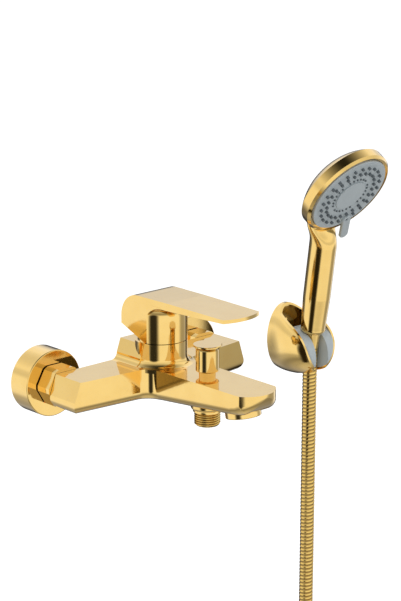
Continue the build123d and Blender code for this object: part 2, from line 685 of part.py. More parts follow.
# Shower outlet under the spout
boss_low_z, cone_low_z, neck_out_r = -13.6, -15.5, 11.5
check_r, check_low_z, check_top_z = 6.9, -24.0, -14.0
with BuildPart() as shower_nipple:
    with BuildSketch(diverter_half):
        with BuildLine():
            Polyline((0, nipple_spigot_z), (nipple_spigot_r, nipple_spigot_z),
                     (nipple_spigot_r, nipple_boss_z), (nipple_boss_r, nipple_boss_z),
                     (nipple_boss_r, boss_low_z + 2))
            RadiusArc((nipple_boss_r, boss_low_z + 2), (nipple_boss_r - 2, boss_low_z), 2)
            Polyline((nipple_boss_r - 2, boss_low_z), (neck_out_r, boss_low_z - 0.6),
                     (neck_out_r, cone_low_z), (half_inch_r, cone_low_z - 0.8),
                     (half_inch_r, nipple_bottom_z + 0.8), (half_inch_r - 0.8, nipple_bottom_z),
                     (0, nipple_bottom_z), (0, nipple_spigot_z))
        make_face()
    revolve(axis=Axis((0, diverter_y, 0), (0, 0, 1)))
    with BuildSketch(diverter_frame.offset(nipple_bottom_z)):
        Circle(5.2)
    extrude(amount=30, mode=Mode.SUBTRACT)
    with BuildSketch(diverter_frame.offset(nipple_bottom_z)):
        Circle(check_r + 0.05)
    extrude(amount=check_top_z - nipple_bottom_z, mode=Mode.SUBTRACT)
save(shower_nipple, "shower_nipple")

nipple_gasket = ring_in(diverter_frame, nipple_boss_r - 0.6, nipple_spigot_r + 0.1,
                        nipple_boss_z, nipple_boss_z + gasket_t)
save(nipple_gasket, "nipple_gasket")

with BuildPart() as check_valve:
    with BuildSketch(diverter_frame.offset(check_low_z)):
        Circle(check_r)
        Circle(check_r - 1.3, mode=Mode.SUBTRACT)
    extrude(amount=check_top_z - 0.3 - check_low_z)
    with BuildSketch(diverter_frame.offset(check_low_z)):
        Rectangle(2 * check_r - 1.5, 1.4)
        Rectangle(1.4, 2 * check_r - 1.5)
        Circle(2.0)
    extrude(amount=1.8)
    with BuildSketch(diverter_frame.offset(check_low_z)):
        Circle(1.1)
    extrude(amount=6)
    with BuildSketch(diverter_frame.offset(check_low_z + 5.5)):
        Circle(4.8)
    extrude(amount=1.2)
save(check_valve, "check_valve")

# Aerator: a screwed ring that holds a plastic grid against a washer
with BuildPart() as aerator_housing:
    with BuildSketch(aerator_frame.offset(-6.4)):
        Circle(11.9)
    extrude(amount=6.4)
    with BuildSketch(aerator_frame.offset(-0.5)):
        Circle(aerator_r)
    extrude(amount=5.1)
    fillet(aerator_housing.faces().sort_by(Axis(aerator_frame.origin, aerator_frame.z_dir))[-1].edges(), 0.8)
    with BuildSketch(aerator_frame.offset(-7)):
        Circle(10.5)
    extrude(amount=10.4, mode=Mode.SUBTRACT)
    with BuildSketch(aerator_frame.offset(3)):
        Circle(9.7)
    extrude(amount=3, mode=Mode.SUBTRACT)
save(aerator_housing, "aerator_housing")

with BuildPart() as aerator_insert:
    with BuildSketch(aerator_frame.offset(-6.3)):
        Circle(10.4)
        Circle(9.2, mode=Mode.SUBTRACT)
    extrude(amount=9.6)
    with BuildSketch(aerator_frame.offset(0.8)):
        Circle(9.6)
        with GridLocations(2.5, 2.5, 5, 5):
            Rectangle(1.7, 1.7, mode=Mode.SUBTRACT)
        for side in (-1, 1):
            with GridLocations(2.5, 2.5, 1, 3):
                with Locations((7.5 * side, 0)):
                    Rectangle(1.7, 1.7, mode=Mode.SUBTRACT)
    extrude(amount=2.5)
save(aerator_insert, "aerator_insert")

aerator_washer = ring_in(aerator_frame, 11.8, 8.6, -8.45, -6.45)
save(aerator_washer, "aerator_washer")

# Wall bracket: an egg-shaped shell with a plastic seat for the hand shower
handset_lean = math.radians(axis_tilt)
axis_up = (0, -math.sin(handset_lean), math.cos(handset_lean))
handset_frame = Plane(origin=(bracket_x, seam_y, seam_z), x_dir=(1, 0, 0), z_dir=axis_up)
egg_rings = ((0, 20.5, 31.0, -1), (12, 22.8, 32.0, -1), (28, 24.5, 30.5, -1),
             (42, 22.0, 25.5, -2.5), (50, 16.5, 19.0, -4))
bracket_back, screw_rise = 3.0, 14.0
shell_edge = ((-4, 12), (-10, 5.5), (-29.5, -2), (-40.5, -9.5), (-45.5, -16.5), (-48.5, -27),
              (-48.5, -37), (-44, -47), (-35, -58))
liner_edge = ((-12, -10), (-28, -6), (-38, -9.5), (-45, -15.5), (-49.2, -25), (-49.7, -34),
              (-46.5, -45), (-38, -54))


def egg(shrink, low, high):
    """The bracket's outer shape, made smaller all round, between two depths."""
    with BuildPart() as piece:
        for depth, half_x, half_z, drop in egg_rings:
            with BuildSketch(outward(bracket_x, bracket_z + drop).offset(depth)):
                Ellipse(half_x - shrink, half_z - shrink)
        loft()
        with BuildSketch(outward(bracket_x).offset(low)):
            Rectangle(100, 200)
        extrude(amount=high - low, mode=Mode.INTERSECT)
    return piece


outer_egg = egg(0, 0, 60)
inner_egg = egg(bracket_wall, bracket_back, 60)
seat_gap = 0.45
seat_cone = lathe(handset_frame, ((0, 40), (handle_r + seat_gap, 40), (handle_r + seat_gap, 34),
                                  (handle_end_r + seat_gap, 4.9), (10.9, 1.3), (8.4, -0.5),
                                  (7.8, -1.2), (7.8, -14), (8.5, -16), (8.5, -70), (0, -70)))

with BuildPart() as bracket_shell:
    add(outer_egg.part)
    add(inner_egg.part, mode=Mode.SUBTRACT)
    with BuildSketch(outward(bracket_x, bracket_z - 4).offset(45)):
        Ellipse(14 - bracket_wall, 18 - bracket_wall)
    extrude(amount=10, mode=Mode.SUBTRACT)
    with BuildSketch(Plane.YZ.offset(bracket_x - 30)):
        with BuildLine():
            Polyline(shell_edge[0], shell_edge[1])
            Spline(*shell_edge[1:])
            Polyline(shell_edge[-1], (-70, -58), (-70, 20), (-5, 20), shell_edge[0])
        make_face()
    extrude(amount=60, mode=Mode.SUBTRACT)
    with BuildSketch(handset_frame.offset(-60)):
        with Locations((0, -20)):
            Rectangle(2 * slot_half, 40)
        Circle(8.5)
    extrude(amount=60, mode=Mode.SUBTRACT)
    with BuildSketch(outward(bracket_x, bracket_z)):
        with GridLocations(0, 2 * screw_rise, 1, 2):
            Circle(2.3)
    extrude(amount=bracket_back + 1, mode=Mode.SUBTRACT)
save(bracket_shell, "bracket_shell")

with BuildPart() as bracket_liner:
    add(inner_egg.part)
    with BuildSketch(Plane.YZ.offset(bracket_x - 30)):
        with BuildLine():
            Spline(*liner_edge)
            Polyline(liner_edge[-1], (-12, -54), liner_edge[0])
        make_face()
    extrude(amount=60, mode=Mode.INTERSECT)
    add(seat_cone.part, mode=Mode.SUBTRACT)
    with BuildSketch(handset_frame.offset(-60)):
        with Locations((0, -20)):
            Rectangle(2 * slot_half, 40)
    extrude(amount=90, mode=Mode.SUBTRACT)
save(bracket_liner, "bracket_liner")

# Hand shower: heights in its head are measured forward from the spray face
tilt = math.radians(head_tilt)
head_frame = Plane(origin=(bracket_x, head_y, head_z), x_dir=(1, 0, 0),
                   z_dir=(0, -math.cos(tilt), -math.sin(tilt)))
dome_depth = 24.0
head_cavity_r, cavity_depth = 39.1, 9.6
inner_cavity_r, inner_cavity_depth = 29.0, 14.0
water_bore_r, tube_r = 6.5, 6.4
neck_low = 81.0
neck_rings = ((neck_low, 0, handle_r, handle_r), (84.5, 0.1, 12.4, 12.1), (90, 1.0, 13.1, 10.6),
              (97, 3.6, 15.2, 7.6), (109, 6.4, 16.4, 6.8), (121, 6.2, 17.5, 5.0))


def at_axis(rise, back=0.0):
    """A point of the hand shower's mid plane, given along and behind its axis."""
    return handset_frame.from_local_coords((0, back, rise))


def channel(start, end, radius):
    """A round channel between two points."""
    with BuildPart() as piece:
        with BuildSketch(Plane(origin=start, x_dir=(1, 0, 0), z_dir=end - start)):
            Circle(radius)
        extrude(amount=(end - start).length)
    return piece


neck_turn, neck_back = at_axis(84, 2.0), at_axis(112, 7.0)
into_head = head_frame.from_local_coords((0, -17, -10.0))
water_channels = (channel(at_axis(-1), at_axis(86), water_bore_r),
                  channel(neck_turn, neck_back, 4.4),
                  channel(neck_back, into_head, 4.4))

with BuildPart() as handset_shell:
    with BuildSketch(Plane(head_frame.origin, x_dir=(1, 0, 0), z_dir=-head_frame.y_dir)):
        with BuildLine():
            Polyline((0, -2), (41.6, -2), (41.6, 0), (head_r, -2.4), (head_r, -head_depth))
            ThreePointArc((head_r, -head_depth), (34, -18.4), (0, -dome_depth))
            Line((0, -dome_depth), (0, -2))
        make_face()
    revolve(axis=Axis(head_frame.origin, head_frame.z_dir))
    with BuildSketch(Plane(handset_frame.origin, x_dir=(1, 0, 0), z_dir=-handset_frame.y_dir)):
        with BuildLine():
            Line((0, 0), (8.0, 0))
            ThreePointArc((8.0, 0), (10.4, 1.5), (handle_end_r, 4.5))
            Polyline((handle_end_r, 4.5), (handle_r, 34), (handle_r, neck_low), (0, neck_low), (0, 0))
        make_face()
    revolve(axis=Axis(handset_frame.origin, handset_frame.z_dir))
    for rise, back, half_x, half_y in neck_rings:
        with BuildSketch(handset_frame.offset(rise)):
            with Locations((0, back)):
                Ellipse(half_x, half_y)
    loft()
    with BuildSketch(head_frame.offset(-cavity_depth)):
        Circle(head_cavity_r)
    extrude(amount=60, mode=Mode.SUBTRACT)
    with BuildSketch(head_frame.offset(-inner_cavity_depth)):
        Circle(inner_cavity_r)
        Circle(5.0, mode=Mode.SUBTRACT)
    extrude(amount=inner_cavity_depth - cavity_depth + 0.1, mode=Mode.SUBTRACT)
    with BuildSketch(head_frame.offset(-inner_cavity_depth)):
        Circle(1.92)
    extrude(amount=inner_cavity_depth, mode=Mode.SUBTRACT)
    for hole in water_channels:
        add(hole.part, mode=Mode.SUBTRACT)
save(handset_shell, "handset_shell")

tab_turn = math.radians(tab_angle)
tab_out = (math.sin(tab_turn), -math.cos(tab_turn))
tab_root, tab_end, tab_half = 33.0, 54.0, 4.5
small_row_r, small_row_places = 18.4, 28
row_radii = (31.5, 25.5)
post_r, small_post_r = 1.35, 0.85
row_start = 7.5


def nozzle_places(radius):
    """Points of a full row of nozzles."""
    return PolarLocations(radius, nozzle_count, start_angle=row_start)


small_row = [(small_row_r * math.cos(math.radians(45 + 360 / small_row_places * place)),
              small_row_r * math.sin(math.radians(45 + 360 / small_row_places * place)))
             for place in range(small_row_places) if place % 7]

with BuildPart() as spray_face:
    with BuildSketch(head_frame.offset(-3)):
        Circle(head_cavity_r - 0.45)
    extrude(amount=3.6)
    chamfer(spray_face.faces().sort_by(Axis(head_frame.origin, head_frame.z_dir))[-1].edges(), 0.4)
    with BuildSketch(head_frame.offset(0.55)):
        with Locations(((tab_root + tab_end) / 2 * tab_out[0], (tab_root + tab_end) / 2 * tab_out[1])):
            SlotCenterToCenter(tab_end - tab_root, 2 * tab_half, rotation=-90 + tab_angle)
    extrude(amount=2.8)
    chamfer(spray_face.faces().sort_by(Axis(head_frame.origin, head_frame.z_dir))[-1].edges(), 0.7)
    with BuildSketch(head_frame.offset(-4)):
        for radius in row_radii:
            with nozzle_places(radius):
                Circle(post_r + 0.05)
        with Locations(*small_row):
            Circle(small_post_r + 0.05)
        Circle(4.4)
    extrude(amount=4.0 + 3.6, mode=Mode.SUBTRACT)
save(spray_face, "spray_face")

with BuildPart() as spray_nozzles:
    with BuildSketch(head_frame.offset(-4.2)):
        Circle(36)
        Circle(5.0, mode=Mode.SUBTRACT)
    extrude(amount=1.2)
    with BuildSketch(head_frame.offset(-3.1)):
        for radius in row_radii:
            with nozzle_places(radius):
                Circle(post_r)
    extrude(amount=3.1 + 2.6)
    with BuildSketch(head_frame.offset(-3.1)):
        with Locations(*small_row):
            Circle(small_post_r)
    extrude(amount=3.1 + 1.6)
save(spray_nozzles, "spray_nozzles")

cap_r, slot_row_r = 15.2, 10.0
with BuildPart() as centre_cap:
    with BuildSketch(head_frame.offset(0.65)):
        Circle(cap_r)
        for slot_angle in (45, 165, 285):
            SlotArc(CenterArc((0, 0), slot_row_r, slot_angle - 22, 44, mode=Mode.PRIVATE), 0.9,
                    mode=Mode.SUBTRACT)
    extrude(amount=1.0)
save(centre_cap, "centre_cap")

with BuildPart() as face_screw:
    with BuildSketch(head_frame.offset(-12)):
        Circle(1.9)
    extrude(amount=12.2)
    with BuildSketch(head_frame.offset(-1.6)):
        Circle(3.6)
    extrude(amount=1.9)
save(face_screw, "face_screw")

with BuildPart() as flow_plate:
    with BuildSketch(head_frame.offset(-7.6)):
        Circle(head_cavity_r - 0.1)
        Circle(1.95, mode=Mode.SUBTRACT)
        with PolarLocations(22, 6):
            Circle(3.0, mode=Mode.SUBTRACT)
    extrude(amount=3.0)
    with BuildSketch(head_frame.offset(-5)):
        Circle(3.6)
        Circle(1.95, mode=Mode.SUBTRACT)
    extrude(amount=3.3)
save(flow_plate, "flow_plate")

flow_seal = ring_in(head_frame, head_cavity_r - 0.05, head_cavity_r - 2, -cavity_depth + 0.02, -7.65)
save(flow_seal, "flow_plate_seal")

handset_core = ring_in(handset_frame, tube_r, 4.6, 9.7, 80)
save(handset_core, "handset_core")

# Hose: a conical nut at the hand shower, the hanging stretch and a tied coil
nut_length = 14.0
hose_nut_top = lathe(handset_frame, ((hose_bore_r, -nut_length), (6.8, -nut_length), (7.3, -0.4),
                                     (7.3, -0.05), (6.42, -0.05), (6.42, 8), (hose_bore_r, 8)))
save(hose_nut_top, "hose_nut_top")

hose_washer_top = ring_in(handset_frame, 6.4, hose_bore_r, 8.05, 9.65)
save(hose_washer_top, "hose_washer_top")

bend_r, swivel_gap = 90.0, 0.3
hose_start = at_axis(-nut_length - swivel_gap)
bend_length = bend_r * handset_lean
hang_y = hose_start.Y + bend_r * (1 - math.cos(handset_lean))
bend_low_z = hose_start.Z - bend_r * math.sin(handset_lean)
hang_length = bend_length + bend_low_z - hose_low_z


def hose_frame(run):
    """The frame across the hanging hose at a length along it, steady in X."""
    if run >= bend_length:
        return Plane(origin=(bracket_x, hang_y, bend_low_z - run + bend_length), x_dir=(1, 0, 0),
                     z_dir=(0, 0, -1))
    lean = handset_lean - run / bend_r
    return Plane(origin=(bracket_x, hang_y - bend_r * (1 - math.cos(lean)),
                         bend_low_z + bend_r * math.sin(lean)), x_dir=(1, 0, 0),
                 z_dir=(0, math.sin(lean), -math.cos(lean)))


rib_count = math.floor(hang_length / rib_pitch)
pitch = hang_length / rib_count
groove_r = hose_r - groove_depth
rib_shape = ((0.0, groove_r), (0.22, hose_r), (0.72, hose_r), (0.94, groove_r))
with BuildPart() as hose_hanging:
    for rib in range(rib_count):
        for part_way, radius in rib_shape:
            with BuildSketch(hose_frame((rib + part_way) * pitch)):
                Circle(radius)
    with BuildSketch(hose_frame(hang_length)):
        Circle(groove_r)
    loft(ruled=True)
    with BuildLine():
        TangentArc(hose_frame(0).origin, hose_frame(bend_length).origin,
                   tangent=hose_frame(0).z_dir)
        Line(hose_frame(bend_length).origin, hose_frame(hang_length).origin)
    with BuildSketch(hose_frame(0)):
        Circle(hose_bore_r)
    sweep(mode=Mode.SUBTRACT)
print("ribs", rib_count, "hanging length", round(hang_length, 1))
save(hose_hanging, "hose_hanging")


def two_arcs(start, start_way, end, end_way):
    """Two arcs that join two points, each leaving along its own direction."""
    across = end - start
    way = start_way + end_way
    twist = 2 * (1 - start_way.dot(end_way))
    reach = (math.sqrt(across.dot(way) ** 2 + twist * across.dot(across))
             - across.dot(way)) / twist
    first, second = start + start_way * reach, end - end_way * reach
    middle = (first + second) * 0.5
    return ((start, middle, start_way), (middle, end, second - first))


# The put-away length: a sideways swing, then round turns in front of each other
swing_angle = math.radians(60)
lead = 12.0
swing_x = 2 * coil_r * (1 - math.cos(swing_angle))
swing_z = 2 * coil_r * math.sin(swing_angle)
coil_z = hose_low_z - lead - swing_z
coil_x = bracket_x - swing_x + coil_r
turn_length = math.hypot(2 * math.pi * coil_r, coil_step)
coil_length = hose_length - hang_length - 2 * lead - 2 * coil_r * swing_angle
quarter_turns = round(4 * coil_length / turn_length)
last_reach = 8.0             # the last half turn comes forward to clear its nut
down = Vector(0, 0, -1)


def coil_point(quarter):
    """A point of the coil after a number of quarter turns."""
    angle = math.pi * (1 + quarter / 2)
    forward = coil_step * quarter / 4 + last_reach * max(0, quarter - quarter_turns + 2) / 2
    return Vector(coil_x + coil_r * math.cos(angle), hang_y - forward,
                  coil_z + coil_r * math.sin(angle))


def coil_way(quarter):
    """The direction of the hose there."""
    angle = math.pi * (1 + quarter / 2)
    rise = (coil_step / 4 + (last_reach / 2 if quarter > quarter_turns - 2 else 0)) * 2 / math.pi
    if quarter == 0:
        return down
    return Vector(-coil_r * math.sin(angle), -rise, coil_r * math.cos(angle)).normalized()


swing_top = Vector(bracket_x, hang_y, hose_low_z - lead)
swing_mid = swing_top + Vector(-swing_x / 2, 0, -swing_z / 2)
coil_runs = [(swing_top, swing_mid, down),
             (swing_mid, coil_point(0), Vector(-math.sin(swing_angle), 0, -math.cos(swing_angle)))]
for quarter in range(quarter_turns):
    coil_runs += two_arcs(coil_point(quarter), coil_way(quarter),
                          coil_point(quarter + 1), coil_way(quarter + 1))
coil_end_way = coil_way(quarter_turns)
hose_end = coil_point(quarter_turns) + coil_end_way * lead

with BuildPart() as hose_coil:
    with BuildLine() as coil_path:
        Line((bracket_x, hang_y, hose_low_z), swing_top)
        for start, end, way in coil_runs:
            TangentArc(start, end, tangent=way)
        Line(coil_point(quarter_turns), hose_end)
    with BuildSketch(Plane(origin=(bracket_x, hang_y, hose_low_z), x_dir=(1, 0, 0), z_dir=down)):
        Circle(groove_r)
        Circle(hose_bore_r, mode=Mode.SUBTRACT)
    sweep()
coil_wire = coil_path.wires()[0]
sample_count = 600
samples = [coil_wire.position_at(step / sample_count) for step in range(sample_count + 1)]
step_length = coil_wire.length / sample_count
apart = math.ceil(40 / step_length)
least_gap = min((samples[a] - samples[b]).length for a in range(sample_count + 1)
                for b in range(a + apart, sample_count + 1)) - 2 * groove_r
print("hose length", round(hang_length + coil_wire.length, 1), "turns", quarter_turns / 4,
      "least gap of the coil to itself", round(least_gap, 2))
save(hose_coil, "hose_coil")

# Fittings on the hose's free end
end_frame = Plane(origin=hose_end, x_dir=(0, 1, 0), z_dir=coil_end_way)
print("hose end", [round(v, 3) for v in hose_end - Vector(0, 0, eccentric_drop)],
      "pointing", [round(v, 5) for v in coil_end_way])
ferrule = lathe(end_frame, ((groove_r + 0.02, -12), (7.0, -12), (7.6, -11), (7.6, -0.6), (7.0, 0),
                            (6.2, 0), (6.2, 6.5), (9.2, 6.5), (9.2, 8.5), (hose_bore_r, 8.5),
                            (hose_bore_r, 0), (groove_r + 0.02, 0)))
save(ferrule, "hose_ferrule")
nut_low, nut_high, pocket_low, thread_low = 1.0, 18.5, 6.1, 10.65
with BuildPart() as hose_nut_end:
    with BuildSketch(end_frame.offset(nut_low)):
        RegularPolygon(12.4, 6, major_radius=False)
    extrude(amount=nut_high - nut_low)
    with BuildSketch(end_frame.offset(nut_low)):
        Circle(6.6)
    extrude(amount=pocket_low - nut_low, mode=Mode.SUBTRACT)
    with BuildSketch(end_frame.offset(pocket_low)):
        Circle(9.5)
    extrude(amount=thread_low - pocket_low, mode=Mode.SUBTRACT)
    with BuildSketch(end_frame.offset(thread_low)):
        Circle(half_inch_r + 0.04)
    extrude(amount=nut_high - thread_low, mode=Mode.SUBTRACT)
save(hose_nut_end, "hose_nut_end")
hose_washer_end = ring_in(end_frame, 9.2, 5.0, 8.55, 10.55)
save(hose_washer_end, "hose_washer_end")

tie_wall, tie_width = 1.4, 9.0
tie_passes = math.floor(quarter_turns / 4)
with BuildPart() as hose_tie:
    with BuildSketch(Plane(origin=(coil_point(0).X, hang_y - coil_step * tie_passes / 2,
                                   coil_z - tie_width / 2))):
        SlotCenterToCenter(coil_step * tie_passes + 0.01, 2 * (hose_r + 0.6 + tie_wall), rotation=90)
        SlotCenterToCenter(coil_step * tie_passes, 2 * (hose_r + 0.6), rotation=90,
                           mode=Mode.SUBTRACT)
    extrude(amount=tie_width)
save(hose_tie, "hose_tie")
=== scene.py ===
# %% [markdown]
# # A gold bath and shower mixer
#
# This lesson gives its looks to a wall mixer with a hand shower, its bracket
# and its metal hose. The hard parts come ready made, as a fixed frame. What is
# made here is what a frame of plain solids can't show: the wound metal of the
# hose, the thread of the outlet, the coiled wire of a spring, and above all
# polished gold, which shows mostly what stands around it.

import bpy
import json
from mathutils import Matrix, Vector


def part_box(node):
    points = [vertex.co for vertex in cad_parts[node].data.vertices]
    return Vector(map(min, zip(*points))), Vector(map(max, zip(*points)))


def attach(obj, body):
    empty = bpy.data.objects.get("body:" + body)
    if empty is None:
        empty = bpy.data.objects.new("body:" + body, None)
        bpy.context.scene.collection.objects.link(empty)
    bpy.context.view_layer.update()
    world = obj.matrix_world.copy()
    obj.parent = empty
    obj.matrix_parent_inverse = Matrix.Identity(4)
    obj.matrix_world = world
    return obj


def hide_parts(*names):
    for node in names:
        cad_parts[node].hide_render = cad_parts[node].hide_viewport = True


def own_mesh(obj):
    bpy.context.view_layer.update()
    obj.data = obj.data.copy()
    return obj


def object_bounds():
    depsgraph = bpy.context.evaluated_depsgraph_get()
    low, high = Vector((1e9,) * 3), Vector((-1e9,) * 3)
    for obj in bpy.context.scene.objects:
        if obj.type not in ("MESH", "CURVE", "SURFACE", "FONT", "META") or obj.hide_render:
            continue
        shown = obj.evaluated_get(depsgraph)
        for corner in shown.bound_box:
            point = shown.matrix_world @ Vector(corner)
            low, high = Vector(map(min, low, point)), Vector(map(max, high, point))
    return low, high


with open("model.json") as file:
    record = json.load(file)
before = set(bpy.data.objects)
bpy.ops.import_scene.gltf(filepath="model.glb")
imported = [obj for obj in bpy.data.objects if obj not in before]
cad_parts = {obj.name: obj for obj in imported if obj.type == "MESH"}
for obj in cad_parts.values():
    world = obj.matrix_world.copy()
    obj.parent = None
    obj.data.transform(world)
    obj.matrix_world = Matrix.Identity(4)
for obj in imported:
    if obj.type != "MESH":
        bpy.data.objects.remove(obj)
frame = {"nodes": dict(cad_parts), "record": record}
cad_box = [list(corner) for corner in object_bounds()]
print("nodes in the frame:", len(frame["nodes"]))
print("frame box:", [[round(v, 4) for v in corner] for corner in cad_box])

# %% Modules for the work
import json
import math

import bmesh
import bpy
from mathutils import Vector

# %% [markdown]
# ## The camera
#
# The photograph was taken from the left and a little above, with a long lens,
# so that lines that are parallel stay nearly so. A camera that looks along +Y
# is turned about the vertical first and tipped down second, and has no roll.

# %% Place the camera
camera_place = (-0.9014, -1.0850, 0.4222)
view_azimuth, view_elevation = math.radians(-42.82), math.radians(14.96)

camera_data = bpy.data.cameras.new("camera")
camera_data.sensor_fit = "VERTICAL"
camera_data.sensor_height = 36.0
camera_data.lens = 105.27
camera = bpy.data.objects.new("camera", camera_data)
camera.location = camera_place
camera.rotation_euler = (math.pi / 2 - view_elevation, 0, view_azimuth)
bpy.context.scene.collection.objects.link(camera)
bpy.context.scene.camera = camera
print("camera looks along", [round(v, 3) for v in
                             camera.rotation_euler.to_matrix() @ Vector((0, 0, -1))])

# %% [markdown]
# ## The way of the hose
#
# The hose hangs from the hand shower and has 1.5 m in all. What the photograph
# doesn't show is wound into a coil below it. A NURBS curve of order 3 touches
# the middle of each run between its points, so a few points give a smooth,
# springy line. A ring of points pulls the line inwards, to 0.9665 of its own
# radius with twelve points a turn, and the ring is made larger by that much.

# %% Points of the hanging stretch
mm = 0.001
bracket_x, hang_y = 207.0, -34.52
route = [(bracket_x, -35.31, -27.87), (bracket_x, hang_y, -33.8), (bracket_x, hang_y, -160.0),
         (bracket_x, hang_y, -285.3), (bracket_x, hang_y, -318.7), (190.3, hang_y, -347.7),
         (161.3, hang_y, -364.4), (144.6, hang_y, -393.4)]

# %% Points of the coil
coil_r, coil_z, turn_step = 62.4, -410.08, 17.0
ring_r = coil_r / 0.9665
points_per_turn, coil_points = 12, 33
last_reach, last_points = 8.0, 6
for count in range(coil_points):
    turns_done = (count + 0.5) / points_per_turn
    angle = math.pi + math.tau * turns_done
    forward = turn_step * turns_done
    forward += last_reach * max(0.0, (count - coil_points + last_points + 0.5) / last_points)
    route.append((bracket_x + ring_r * math.cos(angle), hang_y - forward,
                  coil_z + ring_r * math.sin(angle)))
hose_end = (195.042, -90.275, -347.68)
route += [(bracket_x + 2.0, -89.1, hose_end[2]), hose_end]
print("points on the way:", len(route))

# %% Make the curve
route_data = bpy.data.curves.new("hose_route", "CURVE")
route_data.dimensions = "3D"
route_data.resolution_u = 12
spline = route_data.splines.new("NURBS")
spline.points.add(len(route) - 1)
for point, place in zip(spline.points, route):
    point.co = (*(v * mm for v in place), 1.0)
spline.order_u = 3
spline.use_endpoint_u = True
route_object = bpy.data.objects.new("hose_route", route_data)
bpy.context.scene.collection.objects.link(route_object)
bpy.context.view_layer.update()

# %% Read the line that the curve takes
graph = bpy.context.evaluated_depsgraph_get()
line_mesh = bpy.data.meshes.new_from_object(route_object.evaluated_get(graph))
hose_line = [vertex.co.copy() for vertex in line_mesh.vertices]
hose_length = sum((b - a).length for a, b in zip(hose_line, hose_line[1:]))
bpy.data.objects.remove(route_object)
print("hose line:", len(hose_line), "points,", round(hose_length, 4), "m")

# %% [markdown]
# ## Shared effects
#
# An effect that several finishes need is a shader node group: it is drawn
# once, has named inputs, and each material sets its own values. A group here
# gives out only colours and values that change over the surface. The shader
# itself stays in each material.

# %% A helper that builds node trees
def add_node(tree, kind, settings=None, **inputs):
    """Add a node, set its properties, and feed each named input a value or a link."""
    node = tree.nodes.new(kind)
    for name, value in (settings or {}).items():
        setattr(node, name, value)
    for name, value in inputs.items():
        key = int(name[1:]) if name[0] == "_" else name.replace("_", " ")
        socket = node.inputs[key]
        if isinstance(value, bpy.types.NodeSocket):
            tree.links.new(value, socket)
        else:
            socket.default_value = value
    return node


def new_group(name, kind, sockets):
    """Start a node group with its inputs and outputs, and return it with its two end nodes."""
    group = bpy.data.node_groups.new(name, kind)
    for side, socket_kind, socket_name, value in sockets:
        socket = group.interface.new_socket(socket_name, in_out=side, socket_type=socket_kind)
        if value is not None:
            socket.default_value = value
    return group, group.nodes.new("NodeGroupInput"), group.nodes.new("NodeGroupOutput")


# %% [markdown]
# Even a mirror finish isn't even. Buffing leaves slow, soft waves in the metal,
# and hands leave faint clouds that blur the mirror a little. Two noises give
# this: a wide one for clouds of colour and blur, and a finer one for waves.

# %% Group: clouds and waves on a finish
clouds, inside, outside = new_group("clouds_and_waves", "ShaderNodeTree", (
    ("INPUT", "NodeSocketColor", "Light Colour", (0.8, 0.8, 0.8, 1)),
    ("INPUT", "NodeSocketColor", "Deep Colour", (0.6, 0.6, 0.6, 1)),
    ("INPUT", "NodeSocketFloat", "Cloud Scale", 60.0),
    ("INPUT", "NodeSocketFloat", "Wave Scale", 400.0),
    ("INPUT", "NodeSocketFloat", "Clear Roughness", 0.1),
    ("INPUT", "NodeSocketFloat", "Cloudy Roughness", 0.2),
    ("OUTPUT", "NodeSocketColor", "Colour", None),
    ("OUTPUT", "NodeSocketFloat", "Roughness", None),
    ("OUTPUT", "NodeSocketFloat", "Waves", None)))
place = add_node(clouds, "ShaderNodeTexCoord").outputs["Object"]
wide = add_node(clouds, "ShaderNodeTexNoise", Vector=place, Scale=inside.outputs["Cloud Scale"],
                Detail=3.0, Roughness=0.55)
fine = add_node(clouds, "ShaderNodeTexNoise", Vector=place, Scale=inside.outputs["Wave Scale"],
                Detail=2.0)
spread = add_node(clouds, "ShaderNodeMapRange", _0=wide.outputs["Fac"], _1=0.35, _2=0.65)
colour = add_node(clouds, "ShaderNodeMix", {"data_type": "RGBA"}, _0=spread.outputs[0],
                  _6=inside.outputs["Light Colour"], _7=inside.outputs["Deep Colour"])
blur = add_node(clouds, "ShaderNodeMapRange", _0=wide.outputs["Fac"], _1=0.35, _2=0.7,
                _3=inside.outputs["Clear Roughness"], _4=inside.outputs["Cloudy Roughness"])
clouds.links.new(colour.outputs[2], outside.inputs["Colour"])
clouds.links.new(blur.outputs[0], outside.inputs["Roughness"])
clouds.links.new(fine.outputs["Fac"], outside.inputs["Waves"])
print("group", clouds.name, "with", len(clouds.nodes), "nodes")

# %% [markdown]
# Moulded plastic and rubber have a fine pebbled skin from the spark-eroded
# mould. Small Voronoi cells with a noise over them give both its height and
# the way it dulls the surface.

# %% Group: the skin of a moulding
skin, inside, outside = new_group("moulded_skin", "ShaderNodeTree", (
    ("INPUT", "NodeSocketFloat", "Grain Scale", 2500.0),
    ("INPUT", "NodeSocketFloat", "Flow Scale", 90.0),
    ("INPUT", "NodeSocketFloat", "Smooth Roughness", 0.35),
    ("INPUT", "NodeSocketFloat", "Dull Roughness", 0.5),
    ("OUTPUT", "NodeSocketFloat", "Grain", None),
    ("OUTPUT", "NodeSocketFloat", "Flow", None),
    ("OUTPUT", "NodeSocketFloat", "Roughness", None)))
place = add_node(skin, "ShaderNodeTexCoord").outputs["Object"]
cells = add_node(skin, "ShaderNodeTexVoronoi", Vector=place, Scale=inside.outputs["Grain Scale"])
flow = add_node(skin, "ShaderNodeTexNoise", Vector=place, Scale=inside.outputs["Flow Scale"],
                Detail=4.0)
dull = add_node(skin, "ShaderNodeMapRange", _0=flow.outputs["Fac"], _1=0.3, _2=0.7,
                _3=inside.outputs["Smooth Roughness"], _4=inside.outputs["Dull Roughness"])
skin.links.new(cells.outputs["Distance"], outside.inputs["Grain"])
skin.links.new(flow.outputs["Fac"], outside.inputs["Flow"])
skin.links.new(dull.outputs[0], outside.inputs["Roughness"])
print("group", skin.name, "with", len(skin.nodes), "nodes")

